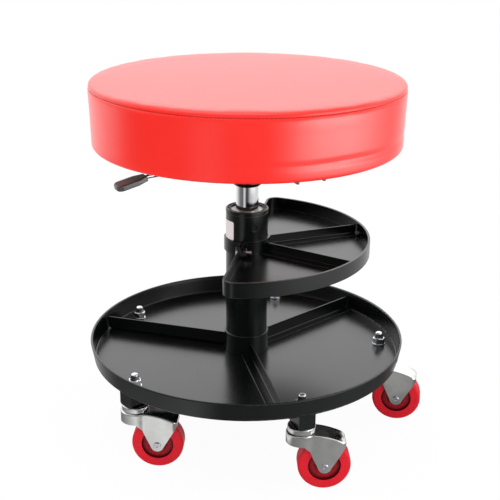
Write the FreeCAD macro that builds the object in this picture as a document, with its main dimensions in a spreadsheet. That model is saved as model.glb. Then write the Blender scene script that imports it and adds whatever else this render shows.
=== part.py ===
import FreeCAD, Part

import os
import re

import Sketcher

# Creeper seat: a round padded stool on a gas-lift column, with a round tray in its
# five-legged base, a half-round tray clamped to the column and five swivel casters.
# Millimetres and degrees, +Z up, floor at zero, column axis through the origin.
# The viewer of the front stands on -Y and has +X on the right.

SIZES = {
    # Column tube, and the clearances shared by the whole assembly
    "column_radius": 25.0,
    "column_wall": 1.7,
    "column_low": 75.0,
    "column_high": 280.3,
    "column_rim_high": 3.4,
    "column_rim_proud": 0.3,
    "column_groove_high": 1.4,
    "column_groove_deep": 0.6,
    "column_lip": 1.2,
    "dimple_turn": 23.5,
    "dimple_high": 261.5,
    "dimple_radius": 4.4,
    "dimple_deep": 1.0,
    "slip": 0.05,
    "part_gap": 0.3,
    "hole_play": 0.25,
    "overrun": 5.0,
    # Hub sleeve that carries the legs
    "sleeve_wall": 1.8,
    "sleeve_low": 74.5,
    "sleeve_high": 124.0,
    "sleeve_chamfer": 0.8,
    # Legs: square tube, welded to the sleeve
    "leg_count": 5,
    "leg_side": 20.0,
    "leg_wall": 1.5,
    "leg_corner": 2.5,
    "leg_beyond_stem": 12.9,
    "leg_cap_thick": 1.4,
    "leg_cap_plug": 6.0,
    "leg_top": 97.3,
    "leg_phase": 4.0,
    # Lower tray: round pan with a tapered wall and a closed hem
    "tray_sheet": 1.2,
    "tray_rim_radius": 190.1,
    "tray_rim_top": 120.4,
    "tray_wall_flare": 3.5,
    "tray_bend": 3.0,
    "tray_hem_high": 4.5,
    "tray_hem_wide": 3.0,
    "tray_hem_round": 1.2,
    # Lower dividers: radial angle strips
    "divider_sheet": 1.2,
    "divider_high": 16.5,
    "divider_foot": 11.5,
    "divider_bend": 2.4,
    "divider_end_gap": 1.0,
    "divider_1_turn": 43.0,
    "divider_2_turn": 163.0,
    "divider_3_turn": 282.5,
    # Caster stem, its nut and washer
    "stem_radius": 4.0,
    "stem_inset": 24.4,
    "stem_thread_top": 111.0,
    "stem_head_radius": 7.5,
    "stem_head_high": 3.4,
    "stem_head_edge": 1.0,
    "washer_radius": 7.8,
    "washer_thick": 1.5,
    "nut_across": 13.0,
    "nut_hex_high": 6.8,
    "nut_shoulder": 0.9,
    "nut_dome_radius": 5.4,
    "nut_dome_top_radius": 4.5,
    "nut_high": 14.3,
    "nut_dome_round": 2.2,
    # Swivel race pressed under the leg
    "race_radius": 16.0,
    "race_wall": 1.5,
    "race_plate": 2.0,
    "race_hub_radius": 7.5,
    "race_lip_gap": 0.6,
    # Caster fork: pressed hood, skirt round the stem and two side plates
    "fork_sheet": 2.0,
    "fork_half_width": 14.5,
    "fork_skirt_radius": 17.5,
    "fork_top": 70.4,
    "fork_skirt_low": 57.0,
    "fork_level_reach": 5.0,
    "fork_blend": 10.0,
    "fork_nose_reach": 49.5,
    "fork_nose_high": 59.0,
    "fork_nose_corner": 6.0,
    "fork_nose_drop": 3.2,
    "fork_throat_reach": 2.0,
    "fork_knee_reach": 9.0,
    "fork_knee_high": 50.0,
    "fork_calf_reach": 12.0,
    "fork_calf_high": 42.0,
    "fork_lug": 7.5,
    "fork_lug_back_turn": 12.0,
    "fork_lug_front_turn": 22.0,
    "fork_edge_round": 2.0,
    "dish_radius": 11.0,
    "dish_low": 63.0,
    "dish_inside": 9.0,
    # Caster wheel and axle
    "wheel_radius": 30.0,
    "wheel_half_width": 11.0,
    "wheel_edge": 4.0,
    "wheel_recess_radius": 17.6,
    "wheel_recess_deep": 3.2,
    "wheel_recess_draft": 0.8,
    "wheel_hub_radius": 8.6,
    "wheel_hub_half_width": 12.0,
    "wheel_trail": 25.7,
    "axle_radius": 3.0,
    "axle_head_radius": 4.3,
    "axle_head_high": 1.8,
    "axle_dimple_radius": 1.7,
    "axle_dimple_deep": 0.9,
    "heading_1": -9.3,
    "heading_2": 5.0,
    "heading_3": -5.0,
    "heading_4": -3.5,
    "heading_5": 1.7,
    # Guide bush, and the ring and notched retainer in the column's mouth
    "bush_low": 198.0,
    "mouth_ring_low": 277.0,
    "mouth_ring_thick": 1.3,
    "retainer_inner": 19.6,
    "retainer_outer": 22.7,
    "retainer_high": 1.5,
    "retainer_notches": 14,
    "retainer_notch_wide": 2.6,
    "retainer_notch_deep": 2.1,
    # Foot plate and thrust washer at the column's lower end
    "foot_low": 76.0,
    "foot_thick": 3.0,
    "thrust_radius": 9.0,
    "thrust_thick": 1.6,
    # Piston rod, its clip and the piston
    "rod_radius": 5.0,
    "rod_neck_radius": 3.95,
    "rod_low": 71.5,
    "rod_high": 272.0,
    "clip_radius": 7.5,
    "clip_thick": 1.2,
    "piston_low": 262.0,
    "piston_high": 274.0,
    "piston_seal_high": 3.0,
    "piston_seal_deep": 0.9,
    # Lift cylinder that slides in the guide bush
    "lift_radius": 13.4,
    "lift_wall": 1.8,
    "lift_low": 152.0,
    "lift_high": 326.0,
    "lift_edge": 0.8,
    "gland_high": 10.0,
    "valve_block_high": 12.0,
    "valve_bore_deep": 10.0,
    # Valve button
    "button_radius": 4.0,
    "button_proud": 5.2,
    "button_long": 11.2,
    "button_edge": 0.8,
    # Seat socket with a flared mouth and a slot for the lever
    "socket_low": 308.0,
    "socket_mouth_radius": 14.4,
    "socket_radius": 18.5,
    "socket_flare_high": 4.5,
    "socket_roof": 6.0,
    "slot_wide": 6.6,
    "slot_low": 329.7,
    "slot_high": 7.8,
    # Seat bracket: cross of two channels
    "bracket_beyond_bolt": 8.0,
    "bracket_half_width": 17.0,
    "bracket_sheet": 2.5,
    "bracket_deep": 11.0,
    "bracket_turn": 26.5,
    "board_low": 361.0,
    # Seat board, its bolts and tee nuts
    "board_radius": 165.0,
    "board_thick": 12.0,
    "board_edge": 1.5,
    "seat_bolt_inset": 23.0,
    "seat_bolt_radius": 3.0,
    "seat_bolt_long": 13.0,
    "small_across": 10.0,
    "small_head_high": 4.0,
    "tee_radius": 9.0,
    "tee_thick": 1.2,
    "tee_barrel_radius": 4.2,
    "tee_barrel_long": 8.0,
    # Cushion
    "cushion_wall": 13.0,
    "cushion_seam_proud": 2.2,
    "cushion_low": 361.5,
    "cushion_foot_round": 5.0,
    "cushion_seam_high": 428.0,
    "cushion_seam_dip": 1.4,
    "cushion_seam_half": 1.6,
    "cushion_waist_proud": 0.9,
    "cushion_lower_sweep": 200.0,
    "cushion_upper_sweep": 500.0,
    "cushion_shoulder": 3.0,
    "cushion_crown_high": 436.0,
    # Lever
    "lever_turn": 207.5,
    "lever_radius": 2.5,
    "lever_high": 334.0,
    "lever_inner": 4.0,
    "lever_bend_reach": 122.5,
    "lever_bend_sweep": 40.0,
    "lever_droop": 12.5,
    "lever_tip_run": 38.5,
    "lever_pivot_reach": 25.0,
    "lever_pin_radius": 1.5,
    "lever_pin_half": 8.0,
    "lever_pin_head": 2.6,
    "lever_pin_head_high": 1.2,
    "ear_sheet": 2.0,
    "ear_half_gap": 4.4,
    "ear_reach": 30.0,
    "ear_above": 7.0,
    "ear_below": 5.2,
    "paddle_half_width": 10.0,
    "paddle_neck_half_width": 5.5,
    "paddle_neck_long": 12.0,
    "paddle_half_thick": 3.4,
    "paddle_long": 34.0,
    "paddle_tip_wall": 3.0,
    "paddle_corner": 7.0,
    "paddle_edge_round": 1.6,
    # Upper tray: half-round pan, clamped to the column at its straight edge
    "upper_turn": -10.2,
    "upper_arc_radius": 159.0,
    "upper_arc_back": 12.8,
    "upper_corner": 13.0,
    "upper_floor_top": 230.0,
    "upper_rim_top": 246.0,
    "upper_sheet": 1.2,
    "upper_hem_high": 4.0,
    "upper_hem_wide": 2.6,
    "upper_divider_high": 11.6,
    "upper_divider_1_turn": 32.2,
    "upper_divider_2_turn": -22.8,
    # Clamp strap and its bolts
    "strap_thick": 2.0,
    "strap_low": 229.4,
    "strap_high": 244.6,
    "strap_ear_reach": 45.0,
    "clamp_bolt_reach": 35.5,
    "clamp_bolt_high": 236.1,
    "clamp_bolt_radius": 3.0,
    "clamp_bolt_long": 14.0,
    "clamp_nut_high": 5.0,
}

# Sizes that follow from the ones above
FOLLOWS = {
    "tray_floor_radius": "(tray_rim_radius - tray_wall_flare)",
    "stem_circle": "(tray_rim_radius - stem_inset)",
    "leg_reach": "(stem_circle + leg_beyond_stem)",
    "seat_bolt_circle": "(board_radius - seat_bolt_inset)",
    "bracket_reach": "(seat_bolt_circle + bracket_beyond_bolt)",
    "cushion_foot_radius": "(board_radius + cushion_wall)",
    "cushion_waist_radius": "(cushion_foot_radius + cushion_waist_proud)",
    "cushion_radius": "(cushion_foot_radius + cushion_seam_proud)",
}

LEGS = SIZES["leg_count"]

doc = FreeCAD.newDocument("creeper_seat")
sheet = doc.addObject("Spreadsheet::Sheet", "Sizes")
for row, (size_name, size_value) in enumerate(SIZES.items(), start=1):
    sheet.set(f"A{row}", size_name)
    sheet.set(f"B{row}", str(size_value))
    sheet.setAlias(f"B{row}", size_name)
doc.recompute()

SUB_PARTS = []


def formula(text):
    """Turn a sum of size names into one that refers to the sheet's cells."""
    def cell(match):
        name = match.group()
        if name in FOLLOWS:
            return formula(FOLLOWS[name])
        return f"Sizes.{name}" if name in SIZES else name
    return re.sub(r"[a-z][a-z_0-9]*", cell, str(text))


def number(text):
    """Work out a sum of size names."""
    return float(sheet.evalExpression(formula(text)))


def bind(thing, prop, text):
    """Bind a property to a sum of size names."""
    thing.setExpression(prop, formula(text))


def sub_part(thing, label):
    """Name an object as one of the finished pieces."""
    thing.Label = label
    SUB_PARTS.append(thing)
    return thing


# Sketches


def arc_between(start, end, radius, turn):
    """Arc from start to end; turn is 1 when it runs anticlockwise, else -1."""
    chord = end.sub(start)
    half = chord.Length / 2
    left = FreeCAD.Vector(-chord.y, chord.x, 0).normalize()
    middle = start.add(chord.multiply(0.5))
    inset = max(radius * radius - half * half, 0) ** 0.5
    top = middle.sub(left.multiply(turn * (radius - inset)))
    if turn > 0:
        return Part.ArcOfCircle(start, top, end)
    return Part.ArcOfCircle(end, top, start)


def pin_point(sketch, geometry, point, x, y):
    """Hold a sketch point at two sums of size names."""
    for kind, axis, text in (("DistanceX", -2, x), ("DistanceY", -1, y)):
        if text == "0":
            sketch.addConstraint(Sketcher.Constraint("PointOnObject", geometry, point, axis))
            continue
        held = sketch.addConstraint(
            Sketcher.Constraint(kind, -1, 1, geometry, point, number(text)))
        bind(sketch, f"Constraints[{held}]", text)


def add_circle(sketch, x, y, radius):
    """Draw a circle whose place and radius are sums of size names."""
    centre = FreeCAD.Vector(number(x), number(y), 0)
    circle = Part.Circle(centre, FreeCAD.Vector(0, 0, 1), number(radius))
    geometry = sketch.addGeometry(circle, False)
    pin_point(sketch, geometry, 3, x, y)
    held = sketch.addConstraint(Sketcher.Constraint("Radius", geometry, number(radius)))
    bind(sketch, f"Constraints[{held}]", radius)


def add_run(sketch, corners, closed=True):
    """Draw a run of lines and arcs.

    A corner is (x, y), reached by a line, or (x, y, radius, turn), reached by an arc.
    """
    places = [FreeCAD.Vector(number(corner[0]), number(corner[1]), 0) for corner in corners]
    count = len(corners)
    edges = []
    for index in range(count if closed else count - 1):
        goal = (index + 1) % count
        corner = corners[goal]
        if len(corner) == 2:
            line = Part.LineSegment(places[index], places[goal])
            geometry = sketch.addGeometry(line, False)
            edges.append((geometry, 1, 2))
            continue
        arc = arc_between(places[index], places[goal], number(corner[2]), corner[3])
        geometry = sketch.addGeometry(arc, False)
        edges.append((geometry, 1, 2) if corner[3] > 0 else (geometry, 2, 1))
    for index, (geometry, first, last) in enumerate(edges):
        pin_point(sketch, geometry, first, corners[index][0], corners[index][1])
        if closed or index < len(edges) - 1:
            following = edges[(index + 1) % len(edges)]
            sketch.addConstraint(
                Sketcher.Constraint("Coincident", geometry, last, following[0], following[1]))
        else:
            pin_point(sketch, geometry, last, corners[-1][0], corners[-1][1])
        corner = corners[(index + 1) % count]
        if len(corner) == 4:
            held = sketch.addConstraint(
                Sketcher.Constraint("Radius", geometry, number(corner[2])))
            bind(sketch, f"Constraints[{held}]", corner[2])


def new_body(name):
    """Start a body."""
    return doc.addObject("PartDesign::Body", name)


def new_sketch(body, name, plane, offset="0"):
    """Start a sketch on one of a body's origin planes, moved along its normal."""
    sketch = body.newObject("Sketcher::SketchObject", name)
    role = f"{plane}_Plane"
    face = [feature for feature in body.Origin.OriginFeatures if feature.Role == role][0]
    sketch.AttachmentSupport = [(face, "")]
    sketch.MapMode = "FlatFace"
    bind(sketch, "AttachmentOffset.Base.z", offset)
    return sketch


def outline(body, name, plane, corners, offset="0"):
    """Make a sketch of one closed run."""
    sketch = new_sketch(body, name, plane, offset)
    add_run(sketch, corners)
    return sketch


def circles(body, name, plane, places, offset="0"):
    """Make a sketch of circles, each given as x, y, radius."""
    sketch = new_sketch(body, name, plane, offset)
    for x, y, radius in places:
        add_circle(sketch, x, y, radius)
    return sketch


# Features


def pad(body, sketch, length, both_ways=False):
    """Pad a sketch along its normal, or equally both ways."""
    feature = body.newObject("PartDesign::Pad", f"{sketch.Name}_pad")
    feature.Profile = sketch
    bind(feature, "Length", length)
    if both_ways:
        feature.SideType = "Symmetric"
    doc.recompute()
    return feature


def pocket(body, sketch, length, forward=False, both_ways=False):
    """Pocket a sketch against its normal, along it, or equally both ways."""
    before = body.Shape.Volume
    feature = body.newObject("PartDesign::Pocket", f"{sketch.Name}_pocket")
    feature.Profile = sketch
    feature.Reversed = forward
    bind(feature, "Length", length)
    if both_ways:
        feature.SideType = "Symmetric"
    doc.recompute()
    if body.Shape.Volume >= before:
        raise ValueError(f"{feature.Name} removes nothing")
    return feature


def turned(body, sketch):
    """Turn a sketch round its upright axis."""
    feature = body.newObject("PartDesign::Revolution", f"{sketch.Name}_turned")
    feature.Profile = sketch
    feature.ReferenceAxis = (sketch, ["V_Axis"])
    feature.Angle = 360
    doc.recompute()
    return feature


def grooved(body, sketch):
    """Turn a sketch round its upright axis and take it away."""
    before = body.Shape.Volume
    feature = body.newObject("PartDesign::Groove", f"{sketch.Name}_groove")
    feature.Profile = sketch
    feature.ReferenceAxis = (sketch, ["V_Axis"])
    feature.Angle = 360
    doc.recompute()
    if body.Shape.Volume >= before:
        raise ValueError(f"{feature.Name} removes nothing")
    return feature


def turned_body(name, corners, plane="XZ"):
    """Make a body from one section turned round the body's axis."""
    body = new_body(name)
    turned(body, outline(body, f"{name}_section", plane, corners))
    return body


def ring_section(inner, outer, low, high):
    """Give the section of a plain ring."""
    return [(inner, low), (outer, low), (outer, high), (inner, high)]


def rounded_box(half_x, half_y, corner, middle_x="0", middle_y="0"):
    """Give a rectangle with round corners."""
    return round_cornered(f"({middle_x}) - ({half_x})", f"({middle_x}) + ({half_x})",
                          f"({middle_y}) - ({half_y})", f"({middle_y}) + ({half_y})", corner)


def round_cornered(left, right, lower, upper, corner):
    """Give the rectangle between four sides, its corners rounded."""
    return [
        (f"{left} + ({corner})", lower, corner, 1), (f"{right} - ({corner})", lower),
        (right, f"{lower} + ({corner})", corner, 1), (right, f"{upper} - ({corner})"),
        (f"{right} - ({corner})", upper, corner, 1), (f"{left} + ({corner})", upper),
        (left, f"{upper} - ({corner})", corner, 1), (left, f"{lower} + ({corner})"),
    ]


def hexagon(across):
    """Give a hexagon by its width across flats."""
    return [(f"{across} / 2 / cos(30) * cos({60 * side})",
             f"{across} / 2 / cos(30) * sin({60 * side})") for side in range(6)]


def placed(thing, name, x="0", y="0", z="0", turn="0", axis=(0, 0, 1)):
    """Make a copy of an object that follows it, at a place of its own."""
    copy = doc.addObject("Part::Compound", name)
    copy.Links = [thing]
    copy.Placement = FreeCAD.Placement(
        FreeCAD.Vector(0, 0, 0), FreeCAD.Rotation(FreeCAD.Vector(*axis), 1))
    bind(copy, "Placement.Base.x", x)
    bind(copy, "Placement.Base.y", y)
    bind(copy, "Placement.Base.z", z)
    bind(copy, "Placement.Rotation.Angle", turn)
    return copy


def grouped(name, things, turn="0"):
    """Join like pieces in one group of separate solids."""
    group = doc.addObject("Part::Compound", name)
    group.Links = things
    bind(group, "Placement.Rotation.Angle", turn)
    return group


# Base


SLEEVE_BORE = "column_radius + slip"
SLEEVE_RADIUS = "(column_radius + slip + sleeve_wall)"
LEG_LOW = "(leg_top - leg_side)"
TRAY_FLOOR_TOP = "(leg_top + tray_sheet)"
COLUMN_BORE = "(column_radius - column_wall)"


def make_hub_sleeve():
    """Sleeve with broken edges that the column tube slips into."""
    body = turned_body("hub_sleeve", [
        (SLEEVE_BORE, "sleeve_low"),
        (f"{SLEEVE_RADIUS} - sleeve_chamfer", "sleeve_low"),
        (SLEEVE_RADIUS, "sleeve_low + sleeve_chamfer"),
        (SLEEVE_RADIUS, "sleeve_high - sleeve_chamfer"),
        (f"{SLEEVE_RADIUS} - sleeve_chamfer", "sleeve_high"),
        (SLEEVE_BORE, "sleeve_high"),
    ])
    sub_part(body, "hub_sleeve")


def make_legs():
    """Square tubes, coped to the sleeve and drilled for the caster stems."""
    body = new_body("leg")
    section = new_sketch(body, "leg_section", "YZ")
    middle = "leg_top - leg_side / 2"
    for inset in ("0", "leg_wall"):
        half = f"leg_side / 2 - {inset}"
        corner = f"leg_corner - {inset}"
        add_run(section, rounded_box(half, half, corner, middle_y=middle))
    pad(body, section, "leg_reach")
    cope = circles(body, "leg_cope", "XY", [("0", "0", f"{SLEEVE_RADIUS} + slip")],
                   f"{LEG_LOW} - overrun")
    pocket(body, cope, "leg_side + 2 * overrun", forward=True)
    hole = circles(body, "leg_hole", "XY", [("stem_circle", "0", "stem_radius + hole_play")],
                   f"{LEG_LOW} - overrun")
    pocket(body, hole, "leg_side + 2 * overrun", forward=True)
    for index in range(LEGS):
        leg = placed(body, f"leg_{index + 1}", turn=f"leg_phase + {index} * 360 / leg_count")
        sub_part(leg, f"leg_{index + 1}")


def make_leg_caps():
    """Plates that close the outer ends of the legs, each with a plug in the tube."""
    body = new_body("leg_cap")
    middle = "leg_top - leg_side / 2"
    plate = outline(body, "leg_cap_plate", "YZ", rounded_box(
        "leg_side / 2", "leg_side / 2", "leg_corner", middle_y=middle), "leg_reach")
    pad(body, plate, "leg_cap_thick")
    half = "(leg_side / 2 - leg_wall - slip)"
    plug = outline(body, "leg_cap_plug", "YZ", rounded_box(
        half, half, "(leg_corner - leg_wall)", middle_y=middle),
        "leg_reach - leg_cap_plug")
    pad(body, plug, "leg_cap_plug")
    caps = [placed(body, f"leg_cap_{index + 1}",
                   turn=f"leg_phase + {index} * 360 / leg_count") for index in range(LEGS)]
    sub_part(grouped("leg_caps", caps), "leg_caps")


def make_lower_tray():
    """Pan turned from one sheet, its rim folded in to a closed hem."""
    lean = "(tray_rim_radius - tray_floor_radius) / (tray_rim_top - leg_top)"
    hem_low = "tray_rim_top - tray_hem_high"
    hem_outside = f"tray_rim_radius - tray_hem_high * {lean}"
    body = turned_body("lower_tray", [
        (f"{SLEEVE_RADIUS} + part_gap", "leg_top"),
        ("tray_floor_radius - tray_bend", "leg_top"),
        ("tray_floor_radius", "leg_top + tray_bend", "tray_bend", 1),
        ("tray_rim_radius", "tray_rim_top - tray_hem_round"),
        ("tray_rim_radius - tray_hem_round", "tray_rim_top", "tray_hem_round", 1),
        ("tray_rim_radius - tray_hem_wide + tray_hem_round", "tray_rim_top"),
        ("tray_rim_radius - tray_hem_wide", "tray_rim_top - tray_hem_round",
         "tray_hem_round", 1),
        (f"{hem_outside} - tray_hem_wide", hem_low),
        (f"{hem_outside} - tray_sheet", f"{hem_low}"),
        ("tray_floor_radius - tray_sheet", "leg_top + tray_bend"),
        ("tray_floor_radius - tray_bend", TRAY_FLOOR_TOP, "tray_bend - tray_sheet", -1),
        (f"{SLEEVE_RADIUS} + part_gap", TRAY_FLOOR_TOP),
    ])
    places = []
    for index in range(LEGS):
        turn = f"leg_phase + {index} * 360 / leg_count"
        places.append((f"stem_circle * cos({turn})", f"stem_circle * sin({turn})",
                       "stem_radius + hole_play"))
    holes = circles(body, "lower_tray_holes", "XY", places, "leg_top - overrun")
    pocket(body, holes, "tray_sheet + 2 * overrun", forward=True)
    sub_part(body, "lower_tray")


def angle_strip(name, floor, high, inner, outer_low, outer_high):
    """Angle strip along +X: an upright leaf with a foot on its -Y side."""
    body = new_body(name)
    section = outline(body, f"{name}_section", "YZ", [
        ("divider_sheet / 2", f"{floor} + divider_bend", "divider_bend", 1),
        ("divider_sheet / 2", f"{floor} + {high}"),
        ("-divider_sheet / 2", f"{floor} + {high}"),
        ("-divider_sheet / 2", f"{floor} + divider_bend"),
        ("divider_sheet / 2 - divider_bend", f"{floor} + divider_sheet",
         "divider_bend - divider_sheet", -1),
        ("divider_sheet / 2 - divider_foot", f"{floor} + divider_sheet"),
        ("divider_sheet / 2 - divider_foot", floor),
        ("divider_sheet / 2 - divider_bend", floor),
    ])
    pad(body, section, f"{outer_high}")
    bore = circles(body, f"{name}_inner", "XY", [("0", "0", inner)], f"{floor} - overrun")
    pocket(body, bore, f"{high} + 2 * overrun", forward=True)
    end = outline(body, f"{name}_end", "XZ", [
        (f"{outer_low} - tray_bend", f"{floor} - overrun"),
        (f"{outer_high} + overrun", f"{floor} - overrun"),
        (f"{outer_high} + overrun", f"{floor} + {high}"),
        (outer_high, f"{floor} + {high}"),
        (outer_low, f"{floor} + tray_bend"),
        (f"{outer_low} - tray_bend", floor),
    ])
    pocket(body, end, "4 * divider_foot", both_ways=True)
    return body


def make_lower_dividers():
    """Three angle strips from the sleeve to the lower tray's wall."""
    lean = "(tray_rim_radius - tray_floor_radius) / (tray_rim_top - leg_top)"
    wall = "tray_floor_radius - tray_sheet - divider_end_gap"
    body = angle_strip(
        "lower_divider", TRAY_FLOOR_TOP, "divider_high",
        f"{SLEEVE_RADIUS} + part_gap", wall, f"{wall} + divider_high * {lean}")
    for index in (1, 2, 3):
        strip = placed(body, f"lower_divider_{index}", turn=f"divider_{index}_turn")
        sub_part(strip, f"lower_divider_{index}")


def make_column_tube():
    """Column tube: a groove under its rim, a rounded lip and the dimple that holds the bush."""
    rim = "column_radius + column_rim_proud"
    rim_low = "column_high - column_rim_high"
    groove_low = "column_high - column_rim_high - column_groove_high"
    body = turned_body("column_tube", [
        (COLUMN_BORE, "column_low"),
        ("column_radius", "column_low"),
        ("column_radius", groove_low),
        ("column_radius - column_groove_deep", groove_low),
        ("column_radius - column_groove_deep", rim_low),
        (rim, rim_low),
        (rim, "column_high - column_lip"),
        (f"{rim} - column_lip", "column_high", "column_lip", 1),
        (COLUMN_BORE, "column_high"),
    ])
    dimple = circles(body, "column_dimple", "XZ",
                     [("0", "dimple_high", "dimple_radius")], "column_radius - dimple_deep")
    pocket(body, dimple, "dimple_deep + overrun", forward=True)
    bind(body, "Placement.Rotation.Angle", "dimple_turn")
    sub_part(body, "column_tube")


def make_column_mouth():
    """Guide bush, the ring that closes it in and the notched retaining ring."""
    sub_part(turned_body("guide_bush", ring_section(
        "lift_radius + slip", f"{COLUMN_BORE} - slip", "bush_low", "mouth_ring_low")),
        "guide_bush")
    sub_part(turned_body("mouth_ring", ring_section(
        "lift_radius + part_gap", f"{COLUMN_BORE} - slip", "mouth_ring_low",
        "mouth_ring_low + mouth_ring_thick")), "mouth_ring")
    top = "(mouth_ring_low + mouth_ring_thick)"
    body = turned_body("retaining_ring", ring_section(
        "retainer_inner", "retainer_outer", top, f"{top} + retainer_high"))
    notch = outline(body, "retainer_notch", "XY", rounded_box(
        "retainer_notch_deep", "retainer_notch_wide / 2", "retainer_notch_wide / 8",
        middle_x="retainer_outer"), f"{top} - part_gap")
    cut = pocket(body, notch, "retainer_high + 2 * part_gap", forward=True)
    ring = body.newObject("PartDesign::PolarPattern", "retainer_notches_all")
    ring.Originals = [cut]
    ring.Axis = (notch, ["N_Axis"])
    ring.Angle = 360
    bind(ring, "Occurrences", "retainer_notches")
    body.Tip = ring
    sub_part(body, "retaining_ring")


def make_column_foot():
    """Plate that closes the column below, and the washer that the rod bears on."""
    sub_part(turned_body("foot_plate", ring_section(
        "rod_neck_radius + slip", f"{COLUMN_BORE} - slip", "foot_low",
        "foot_low + foot_thick")), "foot_plate")
    sub_part(turned_body("thrust_washer", ring_section(
        "rod_neck_radius + slip", "thrust_radius", "foot_low + foot_thick",
        "foot_low + foot_thick + thrust_thick")), "thrust_washer")


def around_stems(thing, name):
    """Repeat a piece at every caster stem, as one group."""
    copies = []
    for index in range(LEGS):
        turn = f"leg_phase + {index} * 360 / leg_count"
        copies.append(placed(thing, f"{name}_{index + 1}", x=f"stem_circle * cos({turn})",
                             y=f"stem_circle * sin({turn})", turn=turn))
    return sub_part(grouped(name, copies), name)


def make_stem_fasteners():
    """Stems with their lower heads, washers and domed cap nuts."""
    head_top = "(dish_low - part_gap)"
    head_low = "(dish_low - part_gap - stem_head_high)"
    stem = turned_body("caster_stem", [
        ("0", head_low),
        ("stem_head_radius - stem_head_edge", head_low),
        ("stem_head_radius", f"{head_low} + stem_head_edge", "stem_head_edge", 1),
        ("stem_head_radius", head_top),
        ("stem_radius", head_top),
        ("stem_radius", "stem_thread_top"),
        ("0", "stem_thread_top"),
    ])
    around_stems(stem, "caster_stems")
    washer = turned_body("stem_washer", ring_section(
        "stem_radius + hole_play", "washer_radius", TRAY_FLOOR_TOP,
        f"{TRAY_FLOOR_TOP} + washer_thick"))
    around_stems(washer, "stem_washers")

    nut_low = f"({TRAY_FLOOR_TOP} + washer_thick)"
    nut = new_body("cap_nut")
    pad(nut, outline(nut, "cap_nut_hex", "XY", hexagon("nut_across"), nut_low),
        "nut_hex_high")
    dome_low = f"{nut_low} + nut_hex_high - nut_shoulder"
    turned(nut, outline(nut, "cap_nut_dome", "XZ", [
        ("0", dome_low),
        ("nut_dome_radius + nut_shoulder", dome_low),
        ("nut_dome_radius", f"{nut_low} + nut_hex_high + nut_shoulder"),
        ("nut_dome_top_radius", f"{nut_low} + nut_high - nut_dome_round"),
        ("nut_dome_top_radius - nut_dome_round", f"{nut_low} + nut_high",
         "nut_dome_round", 1),
        ("0", f"{nut_low} + nut_high"),
    ]))
    grooved(nut, outline(nut, "cap_nut_bore", "XZ", [
        ("0", f"{nut_low} - overrun"),
        ("stem_radius + slip", f"{nut_low} - overrun"),
        ("stem_radius + slip", "stem_thread_top + part_gap"),
        ("0", "stem_thread_top + part_gap"),
    ]))
    around_stems(nut, "cap_nuts")


def make_swivel_races():
    """Race rings under the legs, each with a hub that steadies its stem."""
    lip_low = "fork_top + race_lip_gap"
    plate_low = f"{LEG_LOW} - race_plate"
    race = turned_body("swivel_race", [
        ("stem_radius + slip", "dish_low + fork_sheet + part_gap"),
        ("race_hub_radius", "dish_low + fork_sheet + part_gap"),
        ("race_hub_radius", plate_low),
        ("race_radius - race_wall", plate_low),
        ("race_radius - race_wall", lip_low),
        ("race_radius", lip_low),
        ("race_radius", f"{LEG_LOW} - race_wall"),
        ("race_radius - race_wall", LEG_LOW, "race_wall", 1),
        ("stem_radius + slip", LEG_LOW),
    ])
    around_stems(race, "swivel_races")


# Casters


FORK_SWEEP = ("((fork_nose_reach - fork_level_reach)^2 + (fork_top - fork_nose_high)^2)"
              " / (2 * (fork_top - fork_nose_high))")


FORK_HOLLOW_NOSE = (f"fork_top - {FORK_SWEEP} + sqrt(({FORK_SWEEP} - fork_sheet)^2"
                    " - (fork_nose_reach - fork_sheet - fork_level_reach)^2)")


def fork_plan(inset):
    """Fork seen from above: the skirt's circle run into two straight side plates."""
    side = f"(fork_half_width - {inset})"
    skirt = f"(fork_skirt_radius - {inset})"
    nose = f"(fork_nose_reach - {inset})"
    corner = f"(fork_nose_corner - {inset})"
    blend = f"(fork_blend + {inset})"
    join = "sqrt((fork_skirt_radius + fork_blend)^2 - (fork_half_width + fork_blend)^2)"
    share = f"({skirt} / (fork_skirt_radius + fork_blend))"
    touch_x = f"({join} * {share})"
    touch_y = f"((fork_half_width + fork_blend) * {share})"
    return [
        (touch_x, touch_y, blend, -1),
        (f"-{skirt}", "0", skirt, 1),
        (touch_x, f"-{touch_y}", skirt, 1),
        (join, f"-{side}", blend, -1),
        (f"{nose} - {corner}", f"-{side}"),
        (nose, f"{corner} - {side}", corner, 1),
        (nose, f"{side} - {corner}"),
        (f"{nose} - {corner}", side, corner, 1),
        (join, side),
    ]


def fork_side():
    """Fork seen from its side: level hood, drooping nose, plates down to the axle."""
    back = "(wheel_trail - fork_lug * cos(fork_lug_back_turn))"
    back_low = "(wheel_radius - fork_lug * sin(fork_lug_back_turn))"
    front = "(wheel_trail + fork_lug * cos(fork_lug_front_turn))"
    front_low = "(wheel_radius - fork_lug * sin(fork_lug_front_turn))"
    return [
        ("-fork_skirt_radius - overrun", "fork_top"),
        ("-fork_skirt_radius - overrun", "fork_skirt_low"),
        ("fork_throat_reach", "fork_skirt_low"),
        ("fork_knee_reach", "fork_knee_high"),
        ("fork_calf_reach", "fork_calf_high"),
        (back, back_low),
        (front, front_low, "fork_lug", 1),
        ("fork_nose_reach", "fork_nose_high - fork_nose_drop"),
        ("fork_nose_reach", "fork_nose_high"),
        ("fork_level_reach", "fork_top", FORK_SWEEP, 1),
    ]


def fork_inside():
    """Hollow of the fork seen from its side."""
    return [
        ("-fork_skirt_radius - overrun", "0"),
        ("fork_nose_reach - fork_sheet", "0"),
        ("fork_nose_reach - fork_sheet", FORK_HOLLOW_NOSE),
        ("fork_level_reach", "fork_top - fork_sheet", f"{FORK_SWEEP} - fork_sheet", 1),
        ("-fork_skirt_radius - overrun", "fork_top - fork_sheet"),
    ]


def prism(name, plane, corners, length, both_ways):
    """Make a body from one outline."""
    body = new_body(name)
    pad(body, outline(body, f"{name}_outline", plane, corners), length, both_ways)
    return body


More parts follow.
